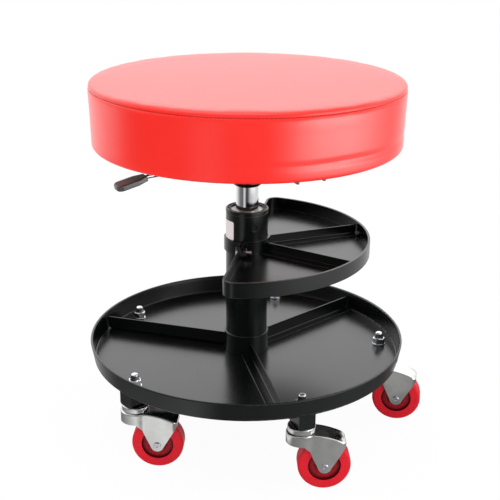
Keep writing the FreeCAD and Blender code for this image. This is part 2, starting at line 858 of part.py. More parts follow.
def cylinder(name, radius, low, high, x="0", y="0"):
    """Make an upright cylinder between two heights."""
    thing = doc.addObject("Part::Cylinder", name)
    bind(thing, "Radius", radius)
    bind(thing, "Height", f"({high}) - ({low})")
    bind(thing, "Placement.Base.x", x)
    bind(thing, "Placement.Base.y", y)
    bind(thing, "Placement.Base.z", low)
    return thing


def joined(kind, name, things):
    """Make a boolean of two objects, or a fusion of several."""
    thing = doc.addObject(f"Part::{kind}", name)
    if kind == "MultiFuse":
        thing.Shapes = things
    else:
        thing.Base, thing.Tool = things
    doc.recompute()
    return thing


def rounded(name, thing, radius, wanted):
    """Round the edges of an object that a test picks out."""
    fillet = doc.addObject("Part::Fillet", name)
    fillet.Base = thing
    size = number(radius)
    fillet.Edges = [(index, size, size) for index, edge in
                    enumerate(thing.Shape.Edges, start=1) if wanted(edge)]
    doc.recompute()
    return fillet


def make_fork():
    """Pressed fork with a dished raceway, open below and at its throat."""
    full = "fork_top + overrun"
    width = "2 * fork_skirt_radius + overrun"
    outside = joined("Common", "fork_outside", [
        prism("fork_plan_outside", "XY", fork_plan("0"), full, False),
        prism("fork_side_outside", "XZ", fork_side(), width, True)])

    top = number("fork_top")
    nose_low = number("fork_nose_high")
    nose = number("fork_nose_reach")
    slack = number("slip")
    wall = number("fork_sheet")

    def hood_edge(edge):
        """Tell the edges between the hood and the walls round it."""
        box = edge.BoundBox
        upper = box.ZMin > nose_low - slack
        across = box.XLength < slack and box.YLength > wall
        flat_nose = abs(box.XMax - nose) < slack and across
        return upper and (not across or flat_nose)

    outside = rounded("fork_pressed", outside, "fork_edge_round", hood_edge)
    inside = joined("Common", "fork_hollow", [
        prism("fork_plan_inside", "XY", fork_plan("fork_sheet"), full, False),
        prism("fork_side_inside", "XZ", fork_inside(), width, True)])
    shell = joined("Cut", "fork_shell", [outside, inside])
    dished = joined("MultiFuse", "fork_dished", [
        shell, cylinder("fork_dish", "dish_radius", "dish_low", "fork_top - fork_sheet / 2")])
    hollows = joined("MultiFuse", "fork_dish_hollows", [
        cylinder("fork_dish_inside", "dish_inside", "dish_low + fork_sheet", full),
        cylinder("fork_stem_hole", "stem_radius + part_gap", "dish_low - overrun", full)])
    open_fork = joined("Cut", "fork_open", [dished, hollows])
    bore = doc.addObject("Part::Cylinder", "fork_axle_bore")
    bind(bore, "Radius", "axle_radius + slip")
    bind(bore, "Height", "2 * fork_half_width + 2 * overrun")
    bore.Placement.Rotation = FreeCAD.Rotation(FreeCAD.Vector(1, 0, 0), 90)
    bind(bore, "Placement.Base.x", "wheel_trail")
    bind(bore, "Placement.Base.y", "fork_half_width + overrun")
    bind(bore, "Placement.Base.z", "wheel_radius")
    return joined("Cut", "fork", [open_fork, bore])


def make_wheel():
    """Moulded wheel with rounded shoulders and a recess round its hub."""
    recess = "wheel_half_width - wheel_recess_deep"
    half = [
        ("wheel_hub_radius", "wheel_hub_half_width"),
        ("wheel_hub_radius", recess),
        ("wheel_recess_radius", recess),
        ("wheel_recess_radius + wheel_recess_draft", "wheel_half_width"),
        ("wheel_radius - wheel_edge", "wheel_half_width"),
    ]
    corners = [("axle_radius + slip", "wheel_hub_half_width")]
    corners += half
    corners.append(("wheel_radius", "wheel_half_width - wheel_edge", "wheel_edge", -1))
    corners.append(("wheel_radius", "wheel_edge - wheel_half_width"))
    mirrored = [(x, f"-({y})") for x, y in reversed(half)]
    mirrored[0] = (*mirrored[0], "wheel_edge", -1)
    corners += mirrored
    corners.append(("axle_radius + slip", "-wheel_hub_half_width"))
    return turned_body("wheel", corners, "XY")


def make_axle():
    """Riveted axle with a dimple in each head."""
    seat = "(fork_half_width + slip)"
    face = "(fork_half_width + slip + axle_head_high)"
    return turned_body("axle", [
        ("0", f"axle_dimple_deep - {face}"),
        ("axle_dimple_radius", f"-{face}"),
        ("axle_head_radius - axle_head_high / 2", f"-{face}"),
        ("axle_head_radius", f"axle_head_high / 2 - {face}", "axle_head_high / 2", 1),
        ("axle_head_radius", f"-{seat}"),
        ("axle_radius", f"-{seat}"),
        ("axle_radius", seat),
        ("axle_head_radius", seat),
        ("axle_head_radius", f"{face} - axle_head_high / 2"),
        ("axle_head_radius - axle_head_high / 2", face, "axle_head_high / 2", 1),
        ("axle_dimple_radius", face),
        ("0", f"{face} - axle_dimple_deep"),
    ], "XY")


def make_casters():
    """Five casters, each turned to its own heading."""
    fork = make_fork()
    wheel = make_wheel()
    axle = make_axle()
    for index in range(LEGS):
        number_name = index + 1
        turn = f"leg_phase + {index} * 360 / leg_count"
        heading = f"heading_{number_name}"
        stem_x = f"stem_circle * cos({turn})"
        stem_y = f"stem_circle * sin({turn})"
        hub_x = f"{stem_x} + wheel_trail * cos({heading})"
        hub_y = f"{stem_y} + wheel_trail * sin({heading})"
        sub_part(placed(fork, f"fork_{number_name}", stem_x, stem_y, turn=heading),
                 f"fork_{number_name}")
        for thing, name in ((wheel, "wheel"), (axle, "axle")):
            label = f"{name}_{number_name}"
            sub_part(placed(thing, label, hub_x, hub_y, "wheel_radius", heading), label)


# Gas lift


LIFT_BORE = "(lift_radius - lift_wall)"


def make_gas_rod():
    """Piston rod held at the column's foot, with its clip and piston."""
    shoulder = "foot_low + foot_thick + thrust_thick + slip"
    sub_part(turned_body("piston_rod", [
        ("0", "rod_low"),
        ("rod_neck_radius", "rod_low"),
        ("rod_neck_radius", shoulder),
        ("rod_radius", shoulder),
        ("rod_radius", "piston_low"),
        ("rod_neck_radius", "piston_low"),
        ("rod_neck_radius", "rod_high"),
        ("0", "rod_high"),
    ]), "piston_rod")
    sub_part(turned_body("rod_clip", ring_section(
        "rod_neck_radius + slip", "clip_radius", "foot_low - slip - clip_thick",
        "foot_low - slip")), "rod_clip")
    piston = f"({LIFT_BORE} - 2 * slip)"
    middle = "(piston_low + piston_high) / 2"
    sub_part(turned_body("piston", [
        ("rod_neck_radius + slip", "piston_low"),
        (piston, "piston_low"),
        (piston, f"{middle} - piston_seal_high / 2"),
        (f"{piston} - piston_seal_deep", f"{middle} - piston_seal_high / 2"),
        (f"{piston} - piston_seal_deep", f"{middle} + piston_seal_high / 2"),
        (piston, f"{middle} + piston_seal_high / 2"),
        (piston, "piston_high"),
        ("rod_neck_radius + slip", "piston_high"),
    ]), "piston")


def make_lift_cylinder():
    """Lift cylinder, the gland in its lower end and the valve block in its upper end."""
    sub_part(turned_body("lift_cylinder", [
        (LIFT_BORE, "lift_low"),
        ("lift_radius - lift_edge", "lift_low"),
        ("lift_radius", "lift_low + lift_edge", "lift_edge", 1),
        ("lift_radius", "lift_high - lift_edge"),
        ("lift_radius - lift_edge", "lift_high", "lift_edge", 1),
        (LIFT_BORE, "lift_high"),
    ]), "lift_cylinder")
    sub_part(turned_body("rod_gland", ring_section(
        "rod_radius + slip", f"{LIFT_BORE} - slip", "lift_low",
        "lift_low + gland_high")), "rod_gland")
    block_low = "(lift_high - valve_block_high)"
    sub_part(turned_body("valve_block", [
        ("0", block_low),
        (f"{LIFT_BORE} - slip", block_low),
        (f"{LIFT_BORE} - slip", "lift_high"),
        ("button_radius + slip", "lift_high"),
        ("button_radius + slip", "lift_high - valve_bore_deep"),
        ("0", "lift_high - valve_bore_deep"),
    ]), "valve_block")
    button_top = "(lift_high + button_proud)"
    sub_part(turned_body("valve_button", [
        ("0", f"{button_top} - button_long"),
        ("button_radius", f"{button_top} - button_long"),
        ("button_radius", f"{button_top} - button_edge"),
        ("button_radius - button_edge", button_top, "button_edge", 1),
        ("0", button_top),
    ]), "valve_button")


# Seat


BRACKET_LOW = "(board_low - bracket_deep)"
WEB_LOW = "(board_low - bracket_sheet)"


def make_seat_socket():
    """Socket with a flared mouth, slotted for the lever and closed above it."""
    body = turned_body("seat_socket", [
        ("lift_radius + slip", "socket_low"),
        ("socket_mouth_radius", "socket_low"),
        ("socket_radius", "socket_low + socket_flare_high", "2 * socket_flare_high", 1),
        ("socket_radius", WEB_LOW),
        ("0", WEB_LOW),
        ("0", f"{WEB_LOW} - socket_roof"),
        ("lift_radius + slip", f"{WEB_LOW} - socket_roof"),
    ])
    slot = outline(body, "socket_slot", "YZ", round_cornered(
        "-slot_wide / 2", "slot_wide / 2", "slot_low", "slot_low + slot_high",
        "slot_wide / 4"))
    pocket(body, slot, "socket_radius + overrun", forward=True)
    bind(body, "Placement.Rotation.Angle", "lever_turn")
    sub_part(body, "seat_socket")


def cross(reach, half):
    """Cross of two bars, seen from above, with its arms along X and Y."""
    quarter = [(reach, f"-{half}"), (reach, half), (half, half)]
    corners = []
    for _ in range(4):
        corners += quarter
        quarter = [(f"-({y})", x) for x, y in quarter]
    return corners


def make_seat_bracket():
    """Cross of two channels, open below and at its four ends, drilled for the bolts."""
    body = new_body("seat_bracket")
    arms = outline(body, "bracket_arms", "XY", cross("bracket_reach", "bracket_half_width"),
                   BRACKET_LOW)
    pad(body, arms, "bracket_deep")
    hollow = outline(body, "bracket_hollow", "XY", cross(
        "(bracket_reach + overrun)", "(bracket_half_width - bracket_sheet)"), BRACKET_LOW)
    pocket(body, hollow, "bracket_deep - bracket_sheet", forward=True)
    holes = circles(body, "bracket_holes", "XY",
                    bolt_places("seat_bolt_radius + hole_play"), BRACKET_LOW)
    pocket(body, holes, "bracket_deep + overrun", forward=True)
    bind(body, "Placement.Rotation.Angle", "bracket_turn")
    sub_part(body, "seat_bracket")


def bolt_places(radius):
    """Give a circle at each of the four seat bolts."""
    return [("seat_bolt_circle", "0", radius), ("0", "seat_bolt_circle", radius),
            ("-seat_bolt_circle", "0", radius), ("0", "-seat_bolt_circle", radius)]


def make_seat_board():
    """Plywood disc, bored and counterbored from above for the tee nuts."""
    body = turned_body("seat_board", [
        ("0", "board_low"),
        ("board_radius - board_edge", "board_low"),
        ("board_radius", "board_low + board_edge", "board_edge", 1),
        ("board_radius", "board_low + board_thick"),
        ("0", "board_low + board_thick"),
    ])
    bores = circles(body, "board_bores", "XY", bolt_places("tee_barrel_radius + slip"),
                    "board_low - overrun")
    pocket(body, bores, "board_thick + 2 * overrun", forward=True)
    seats = circles(body, "board_seats", "XY", bolt_places("tee_radius + part_gap"),
                    "board_low + board_thick - tee_thick - slip")
    pocket(body, seats, "tee_thick + overrun", forward=True)
    bind(body, "Placement.Rotation.Angle", "bracket_turn")
    sub_part(body, "seat_board")


def hex_bolt(name, radius, long):
    """Hexagon bolt that points up, its head's seat at zero."""
    body = new_body(name)
    pad(body, outline(body, f"{name}_head", "XY", hexagon("small_across"),
                      "-small_head_high"), "small_head_high")
    pad(body, circles(body, f"{name}_shank", "XY", [("0", "0", radius)]), long)
    return body


def make_seat_bolts():
    """Bolts from below through the bracket, into tee nuts let into the board."""
    bolt = hex_bolt("seat_bolt", "seat_bolt_radius", "seat_bolt_long")
    seat = f"{WEB_LOW} - slip"
    top = "(board_low + board_thick - slip)"
    tee = turned_body("tee_nut", [
        ("seat_bolt_radius + slip", f"{top} - tee_thick - tee_barrel_long"),
        ("tee_barrel_radius", f"{top} - tee_thick - tee_barrel_long"),
        ("tee_barrel_radius", f"{top} - tee_thick"),
        ("tee_radius", f"{top} - tee_thick"),
        ("tee_radius", top),
        ("seat_bolt_radius + slip", top),
    ])
    bolts = []
    nuts = []
    for index, (x, y, _) in enumerate(bolt_places("seat_bolt_radius"), start=1):
        bolts.append(placed(bolt, f"seat_bolt_{index}", x, y, seat))
        nuts.append(placed(tee, f"tee_nut_{index}", x, y))
    sub_part(grouped("seat_bolts", bolts, "bracket_turn"), "seat_bolts")
    sub_part(grouped("tee_nuts", nuts, "bracket_turn"), "tee_nuts")


def make_cushion():
    """Round cushion: shallow crown, pinched seam, drawn-in side and rounded foot."""
    board_top = "(board_low + board_thick + slip)"
    waist = "(cushion_low + cushion_seam_high) / 2"
    crown = "(cushion_crown_high - cushion_seam_high - cushion_seam_half)"
    shoulder = "(cushion_radius - cushion_shoulder)"
    sweep = f"(({shoulder})^2 + {crown}^2) / (2 * {crown})"
    body = turned_body("seat_cushion", [
        ("0", board_top),
        ("board_radius + part_gap", board_top),
        ("board_radius + part_gap", "cushion_low"),
        ("cushion_foot_radius - cushion_foot_round", "cushion_low"),
        ("cushion_foot_radius", "cushion_low + cushion_foot_round",
         "cushion_foot_round", 1),
        ("cushion_waist_radius", waist, "cushion_lower_sweep", 1),
        ("cushion_radius", "cushion_seam_high - cushion_seam_half",
         "cushion_upper_sweep", 1),
        ("cushion_radius - cushion_seam_dip", "cushion_seam_high"),
        (shoulder, "cushion_seam_high + cushion_seam_half"),
        ("0", "cushion_crown_high", sweep, 1),
    ])
    sub_part(body, "seat_cushion")


# Lever


def make_lever():
    """Bent rod with a flat grip, its pin and the channel that carries the pin."""
    rod = new_body("lever_rod")
    path = new_sketch(rod, "lever_path", "XZ")
    ease = "(lever_bend_sweep * tan(lever_droop / 2))"
    end_x = "(lever_bend_reach + lever_tip_run * cos(lever_droop))"
    end_z = "(lever_high - lever_tip_run * sin(lever_droop))"
    add_run(path, [
        ("-lever_inner", "lever_high"),
        (f"lever_bend_reach - {ease}", "lever_high"),
        (f"lever_bend_reach + {ease} * cos(lever_droop)",
         f"lever_high - {ease} * sin(lever_droop)", "lever_bend_sweep", -1),
        (end_x, end_z),
    ], closed=False)
    profile = circles(rod, "lever_profile", "YZ", [("0", "lever_high", "lever_radius")],
                      "-lever_inner")
    pipe = rod.newObject("PartDesign::AdditivePipe", "lever_pipe")
    pipe.Profile = profile
    pipe.Spine = (path, ["Edge1", "Edge2", "Edge3"])
    doc.recompute()
    hole = circles(rod, "lever_pivot_hole", "XZ",
                   [("lever_pivot_reach", "lever_high", "lever_pin_radius + slip")])
    pocket(rod, hole, "4 * lever_radius", both_ways=True)
    bind(rod, "Placement.Rotation.Angle", "lever_turn")
    sub_part(rod, "lever_rod")

    start = "(lever_tip_run - paddle_long)"
    tip = "(lever_tip_run + paddle_tip_wall)"
    wide = "paddle_half_width"
    paddle = new_body("lever_paddle")
    flat = outline(paddle, "paddle_plan", "XY", [
        (start, "-paddle_neck_half_width"),
        (f"{start} + paddle_neck_long", f"-{wide}"),
        (f"{tip} - paddle_corner", f"-{wide}"),
        (tip, f"paddle_corner - {wide}", "paddle_corner", 1),
        (tip, f"{wide} - paddle_corner"),
        (f"{tip} - paddle_corner", wide, "paddle_corner", 1),
        (f"{start} + paddle_neck_long", wide),
        (start, "paddle_neck_half_width"),
    ])
    pad(paddle, flat, "2 * paddle_half_thick", both_ways=True)
    half = number("paddle_half_thick")
    slack = number("slip")

    def face_edge(edge):
        """Tell the edges of the grip's two flat faces."""
        box = edge.BoundBox
        return box.ZLength < slack and abs(abs(box.ZMin) - half) < slack

    soft = rounded("paddle_rounded", paddle, "paddle_edge_round", face_edge)
    drill = doc.addObject("Part::Cylinder", "paddle_drill")
    bind(drill, "Radius", "lever_radius + slip")
    bind(drill, "Height", "paddle_long + overrun + slip")
    drill.Placement.Rotation = FreeCAD.Rotation(FreeCAD.Vector(0, 1, 0), 90)
    bind(drill, "Placement.Base.x", f"{start} - overrun")
    bored = joined("Cut", "paddle_bored", [soft, drill])
    tilted = placed(bored, "paddle_tilted", "lever_bend_reach", "0", "lever_high",
                    "lever_droop", (0, 1, 0))
    sub_part(placed(tilted, "lever_grip", turn="lever_turn"), "lever_grip")

    pin_x = "lever_pivot_reach"
    pin = turned_body("pin", [
        ("0", "-lever_pin_half - lever_pin_head_high"),
        ("lever_pin_head", "-lever_pin_half - lever_pin_head_high"),
        ("lever_pin_head", "-lever_pin_half"),
        ("lever_pin_radius", "-lever_pin_half"),
        ("lever_pin_radius", "lever_pin_half"),
        ("0", "lever_pin_half"),
    ], "XY")
    laid = placed(pin, "pin_laid", pin_x, "0", "lever_high")
    sub_part(placed(laid, "lever_pin", turn="lever_turn"), "lever_pin")

    ears = new_body("lever_ears")
    outer_half = "(ear_half_gap + ear_sheet)"
    low = "(lever_high - ear_below - ear_sheet)"
    block = outline(ears, "ears_block", "YZ", [
        (f"-{outer_half}", low), (outer_half, low),
        (outer_half, "lever_high + ear_above"),
        ("ear_half_gap", "lever_high + ear_above"),
        ("ear_half_gap", "lever_high - ear_below"),
        ("-ear_half_gap", "lever_high - ear_below"),
        ("-ear_half_gap", "lever_high + ear_above"),
        (f"-{outer_half}", "lever_high + ear_above"),
    ])
    pad(ears, block, "ear_reach")
    cope = circles(ears, "ears_cope", "XY", [("0", "0", "socket_radius + slip")],
                   f"{low} - overrun")
    pocket(ears, cope, "ear_above + ear_below + ear_sheet + 2 * overrun", forward=True)
    holes = circles(ears, "ears_holes", "XZ",
                    [(pin_x, "lever_high", "lever_pin_radius + slip")])
    pocket(ears, holes, f"4 * {outer_half}", both_ways=True)
    bind(ears, "Placement.Rotation.Angle", "lever_turn")
    sub_part(ears, "lever_ears")


# Upper tray


def half_round(inset):
    """Half-round pan seen from above, its straight edge bent round the column."""
    corner_y = ("sqrt((upper_arc_radius - upper_corner)^2"
                " - (upper_corner + upper_arc_back)^2)")
    corner = f"(upper_corner - {inset})"
    arc = f"(upper_arc_radius - {inset})"
    share = f"({arc} / (upper_arc_radius - upper_corner))"
    touch_x = f"((upper_corner + upper_arc_back) * {share} - upper_arc_back)"
    touch_y = f"({corner_y} * {share})"
    saddle = f"(column_radius + part_gap + {inset})"
    saddle_y = f"sqrt({saddle}^2 - ({inset})^2)"
    return [
        (inset, f"-{corner_y}"),
        (touch_x, f"-{touch_y}", corner, 1),
        (f"{arc} - upper_arc_back", "0", arc, 1),
        (touch_x, touch_y, arc, 1),
        (inset, corner_y, corner, 1),
        (inset, saddle_y),
        (saddle, "0", saddle, -1),
        (inset, f"-{saddle_y}", saddle, -1),
    ]


def make_upper_tray():
    """Half-round pan with a closed hem, drilled for the clamp bolts."""
    body = new_body("upper_tray")
    under = "(upper_floor_top - upper_sheet)"
    pad(body, outline(body, "upper_outside", "XY", half_round("0"), under),
        f"upper_rim_top - {under}")
    pocket(body, outline(body, "upper_mouth", "XY", half_round("upper_hem_wide"),
                         "upper_floor_top"),
           "upper_rim_top - upper_floor_top + overrun", forward=True)
    pocket(body, outline(body, "upper_inside", "XY", half_round("upper_sheet"),
                         "upper_floor_top"),
           "upper_rim_top - upper_floor_top - upper_hem_high", forward=True)
    holes = circles(body, "upper_holes", "YZ", clamp_places("clamp_bolt_radius + hole_play"),
                    "-overrun")
    pocket(body, holes, "2 * overrun", forward=True)
    bind(body, "Placement.Rotation.Angle", "upper_turn")
    sub_part(body, "upper_tray")


def clamp_places(radius):
    """Give a circle at each of the two clamp bolts."""
    return [("clamp_bolt_reach", "clamp_bolt_high", radius),
            ("-clamp_bolt_reach", "clamp_bolt_high", radius)]


def make_upper_dividers():
    """Two angle strips from the saddle to the upper tray's round wall."""
    for index in (1, 2):
        turn = f"upper_divider_{index}_turn"
        wall = (f"(sqrt(upper_arc_radius^2 - (upper_arc_back * sin({turn}))^2)"
                f" - upper_arc_back * cos({turn}) - upper_sheet - divider_end_gap)")
        strip = angle_strip(
            f"upper_strip_{index}", "upper_floor_top", "upper_divider_high",
            "column_radius + part_gap + upper_sheet + part_gap", wall, wall)
        sub_part(placed(strip, f"upper_divider_{index}", turn=f"upper_turn + {turn}"),
                 f"upper_divider_{index}")


def make_clamp():
    """Strap round the column's other half, with its bolts and nuts."""
    strap = new_body("clamp_strap")
    inner = "(column_radius + part_gap)"
    outer = "(column_radius + part_gap + strap_thick)"
    inner_y = f"sqrt({inner}^2 - slip^2)"
    outer_y = f"sqrt({outer}^2 - (strap_thick + slip)^2)"
    plan = outline(strap, "strap_plan", "XY", [
        ("-slip", inner_y, inner, -1),
        ("-slip", "strap_ear_reach"),
        ("-slip - strap_thick", "strap_ear_reach"),
        ("-slip - strap_thick", outer_y),
        (f"-{outer}", "0", outer, 1),
        ("-slip - strap_thick", f"-{outer_y}", outer, 1),
        ("-slip - strap_thick", "-strap_ear_reach"),
        ("-slip", "-strap_ear_reach"),
        ("-slip", f"-{inner_y}"),
        (f"-{inner}", "0", inner, -1),
    ], "strap_low")
    pad(strap, plan, "strap_high - strap_low")
    holes = circles(strap, "strap_holes", "YZ",
                    clamp_places("clamp_bolt_radius + hole_play"), "overrun")
    pocket(strap, holes, "3 * overrun")
    bind(strap, "Placement.Rotation.Angle", "upper_turn")
    sub_part(strap, "clamp_strap")

    bolt = hex_bolt("clamp_bolt", "clamp_bolt_radius", "clamp_bolt_long")
    nut = new_body("clamp_nut")
    pad(nut, outline(nut, "clamp_nut_hex", "XY", hexagon("small_across")), "clamp_nut_high")
    pocket(nut, circles(nut, "clamp_nut_bore", "XY",
                        [("0", "0", "clamp_bolt_radius + slip")], "-overrun"),
           "clamp_nut_high + 2 * overrun", forward=True)
    bolts = []
    nuts = []
    for index, (y, z, _) in enumerate(clamp_places("clamp_bolt_radius"), start=1):
        bolts.append(placed(bolt, f"clamp_bolt_{index}", "-2 * slip - strap_thick", y, z,
                            "90", (0, 1, 0)))
        nuts.append(placed(nut, f"clamp_nut_{index}", "upper_sheet + slip", y, z,
                           "90", (0, 1, 0)))
    sub_part(grouped("clamp_bolts", bolts, "upper_turn"), "clamp_bolts")
    sub_part(grouped("clamp_nuts", nuts, "upper_turn"), "clamp_nuts")


def check_pieces():
    """Stop where an object has failed or a piece is not a sound solid."""
    for thing in doc.Objects:
        if "Invalid" in thing.State or "Error" in thing.State:
            raise ValueError(f"{thing.Name} failed: {thing.State}")
    for thing in SUB_PARTS:
        shape = thing.Shape
        if shape.isNull() or not shape.isValid() or not shape.Solids:
            raise ValueError(f"{thing.Label} is not a sound solid")


def write_pieces():
    """Write one file for each piece."""
    os.makedirs("parts", exist_ok=True)
    for thing in SUB_PARTS:
        thing.Shape.exportStep(f"parts/{thing.Label}.step")


make_hub_sleeve()
make_legs()
make_leg_caps()
make_lower_tray()
make_lower_dividers()
make_column_tube()
make_column_mouth()
make_column_foot()
make_stem_fasteners()
make_swivel_races()
make_casters()
make_gas_rod()
make_lift_cylinder()
make_seat_socket()
make_seat_bracket()
make_seat_board()
make_seat_bolts()
make_cushion()
make_lever()
make_upper_tray()
make_upper_dividers()
make_clamp()
doc.recompute()
check_pieces()
write_pieces()
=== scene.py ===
"""Dresses a round creeper seat: red vinyl cushion, gas lift, two steel trays, five casters.

Metres, +Z up, floor at zero, column axis through the origin, front on -Y.
"""

import logging
import math
from collections.abc import Callable
from dataclasses import dataclass, replace
from enum import Enum

import bmesh
import bpy
import numpy as np
from mathutils import Matrix, Vector, noise
from mathutils.bvhtree import BVHTree


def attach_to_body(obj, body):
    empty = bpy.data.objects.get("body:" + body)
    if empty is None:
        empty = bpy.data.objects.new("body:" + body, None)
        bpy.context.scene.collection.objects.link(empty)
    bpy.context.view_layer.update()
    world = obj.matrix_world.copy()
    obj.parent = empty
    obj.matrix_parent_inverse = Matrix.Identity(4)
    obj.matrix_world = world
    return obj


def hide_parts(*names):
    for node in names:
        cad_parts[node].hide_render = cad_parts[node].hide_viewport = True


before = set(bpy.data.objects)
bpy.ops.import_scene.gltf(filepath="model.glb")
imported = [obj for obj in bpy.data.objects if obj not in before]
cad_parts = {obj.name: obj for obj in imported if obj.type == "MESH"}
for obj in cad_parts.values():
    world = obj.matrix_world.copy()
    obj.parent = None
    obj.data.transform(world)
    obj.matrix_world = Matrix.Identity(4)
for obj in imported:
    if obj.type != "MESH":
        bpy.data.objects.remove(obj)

log = logging.getLogger("creeper_seat")

MM = 0.001
Point = tuple[float, float, float]
Pair = tuple[float, float]
Mesh = bpy.types.Mesh
Piece = bpy.types.Object

LEGS = 5
ON_AXIS = 1e-6
TINY = 1e-9
TINY_AREA = 1e-18
MIX_FIRST, MIX_SECOND, MIX_RESULT = 6, 7, 2
RANDOM_LOW, RANDOM_HIGH, RANDOM_RESULT = 2, 3, 1
BEVEL_SAMPLES = 6
OPENNESS_SAMPLES = 8
CLOUD_SPAN: Pair = (0.35, 0.7)
WHITE: Point = (1.0, 1.0, 1.0)


# Node trees


def operator(name: str, flipped: bool = False) -> Callable[["Wire", "Wire | float"], "Wire"]:
    """Give a method that adds one Math node."""
    return lambda wire, other: wire.maths(name, other, flipped)


class Wire:
    """A shader socket that Python arithmetic can be written on."""

    def __init__(self, net: "Net", socket: bpy.types.NodeSocket) -> None:
        """Keep an output socket and the tree that new maths nodes go into."""
        self.net = net
        self.socket = socket

    def maths(self, operation: str, other: "Wire | float" = 0.0,
              flipped: bool = False) -> "Wire":
        """Add one Math node on this value and another, in this order or flipped."""
        pair = (other, self) if flipped else (self, other)
        return self.net.read(0, "ShaderNodeMath", {"operation": operation},
                             {0: pair[0], 1: pair[1]})

    __add__, __radd__ = operator("ADD"), operator("ADD", True)
    __sub__, __rsub__ = operator("SUBTRACT"), operator("SUBTRACT", True)
    __mul__, __rmul__ = operator("MULTIPLY"), operator("MULTIPLY", True)
    __truediv__ = operator("DIVIDE")

    def between(self, low: float, high: float) -> "Wire":
        """Ease from 0 at the low value to 1 at the high one."""
        return self.net.read(0, "ShaderNodeMapRange", {"interpolation_type": "SMOOTHSTEP"},
                             {"Value": self, "From Min": low, "From Max": high})


class Net:
    """Builds one node tree."""

    def __init__(self, tree: bpy.types.NodeTree) -> None:
        """Keep the tree that is filled."""
        self.tree = tree

    def add(self, kind: str, settings: dict | None = None,
            inputs: dict | None = None) -> bpy.types.Node:
        """Add one node.

        Args:
            kind: Node type.
            settings: Properties, set before the sockets; "stops" fills a colour ramp.
            inputs: Values or links by socket name or index.

        Returns:
            The node.
        """
        node = self.tree.nodes.new(kind)
        for key, value in (settings or {}).items():
            if key != "stops":
                setattr(node, key, value)
                continue
            ramp = node.color_ramp.elements
            for _ in value[len(ramp):]:
                ramp.new(1.0)
            for element, (place, level) in zip(ramp, value):
                element.position = place
                element.color = (level, level, level, 1.0)
        for key, value in (inputs or {}).items():
            if isinstance(value, Wire):
                self.tree.links.new(value.socket, node.inputs[key])
            else:
                node.inputs[key].default_value = value
        return node

    def wire(self, node: bpy.types.Node, output: str | int = 0) -> Wire:
        """Wrap an output of a node."""
        return Wire(self, node.outputs[output])

    def read(self, output: str | int, kind: str, settings: dict | None = None,
             inputs: dict | None = None) -> Wire:
        """Add one node and wrap one of its outputs."""
        return self.wire(self.add(kind, settings, inputs), output)

    def place(self) -> Wire:
        """Give the Object coordinates."""
        return self.read("Object", "ShaderNodeTexCoord")

    def mapped(self, scale: Point) -> Wire:
        """Give the Object coordinates, scaled on each axis."""
        return self.read(0, "ShaderNodeMapping", None, {"Vector": self.place(), "Scale": scale})

    def noise(self, scale: float, detail: float, where: Wire | None = None,
              rough: float = 0.5) -> Wire:
        """Give a noise from 0 to 1, by its cells in a metre and its octaves."""
        return self.read("Fac", "ShaderNodeTexNoise", None,
                         {"Vector": where or self.place(), "Scale": scale,
                          "Detail": detail, "Roughness": rough})

    def cells(self, scale: float) -> Wire:
        """Give the distance of a smooth cell pattern, by its cells in a metre."""
        return self.read("Distance", "ShaderNodeTexVoronoi", {"feature": "SMOOTH_F1"},
                         {"Vector": self.place(), "Scale": scale})

    def blend(self, share: Wire | float, first: Wire | Point, second: Wire | Point) -> Wire:
        """Mix two colours, by the share of the second."""
        pair = [c if isinstance(c, Wire) else (*c, 1.0) for c in (first, second)]
        return self.read(MIX_RESULT, "ShaderNodeMix", {"data_type": "RGBA"},
                         {0: share, MIX_FIRST: pair[0], MIX_SECOND: pair[1]})

    def rounded_normal(self, radius: float) -> Wire:
        """Give a normal that rounds the edges by a radius in metres."""
        return self.read(0, "ShaderNodeBevel", {"samples": BEVEL_SAMPLES}, {"Radius": radius})

    def edges(self, rounded: Wire) -> Wire:
        """Give 0 on flat faces and more near the edges that a normal rounds."""
        flat = self.read("Normal", "ShaderNodeNewGeometry")
        return 1.0 - self.read("Value", "ShaderNodeVectorMath", {"operation": "DOT_PRODUCT"},
                               {0: rounded, 1: flat})

    def openness(self, reach: float) -> Wire:
        """Give 1 in the open, and less in a piece's own corners within a reach in metres."""
        return self.read("AO", "ShaderNodeAmbientOcclusion",
                         {"samples": OPENNESS_SAMPLES, "only_local": True}, {"Distance": reach})

    def bump(self, height: Wire, distance: float, strength: float,
             normal: Wire | None = None) -> Wire:
        """Bump a normal, or the surface's own, by a height from 0 to 1 and a depth in metres."""
        inputs = {"Height": height, "Distance": distance, "Strength": strength}
        return self.read(0, "ShaderNodeBump", None, inputs | ({"Normal": normal} if normal else {}))


# Finishes


@dataclass(frozen=True)
class Finish:
    """A surface finish. Each kind fills in one Principled BSDF."""

    name: str

    def material(self) -> bpy.types.Material:
        """Give the finish as a material, made once.

        Returns:
            The material.
        """
        name = f"look_{self.name}"
        known = bpy.data.materials.get(name)
        if known is not None:
            return known
        material = bpy.data.materials.new(name)
        material.use_nodes = True
        net = Net(material.node_tree)
        material.node_tree.nodes.clear()
        shader = net.read(0, "ShaderNodeBsdfPrincipled", None, self.inputs(net))
        net.add("ShaderNodeOutputMaterial", None, {"Surface": shader})
        return material

    def inputs(self, net: Net) -> dict:
        """Give the shader's sockets.

        Args:
            net: Tree to build in.

        Returns:
            Inputs by socket name.
        """
        raise NotImplementedError


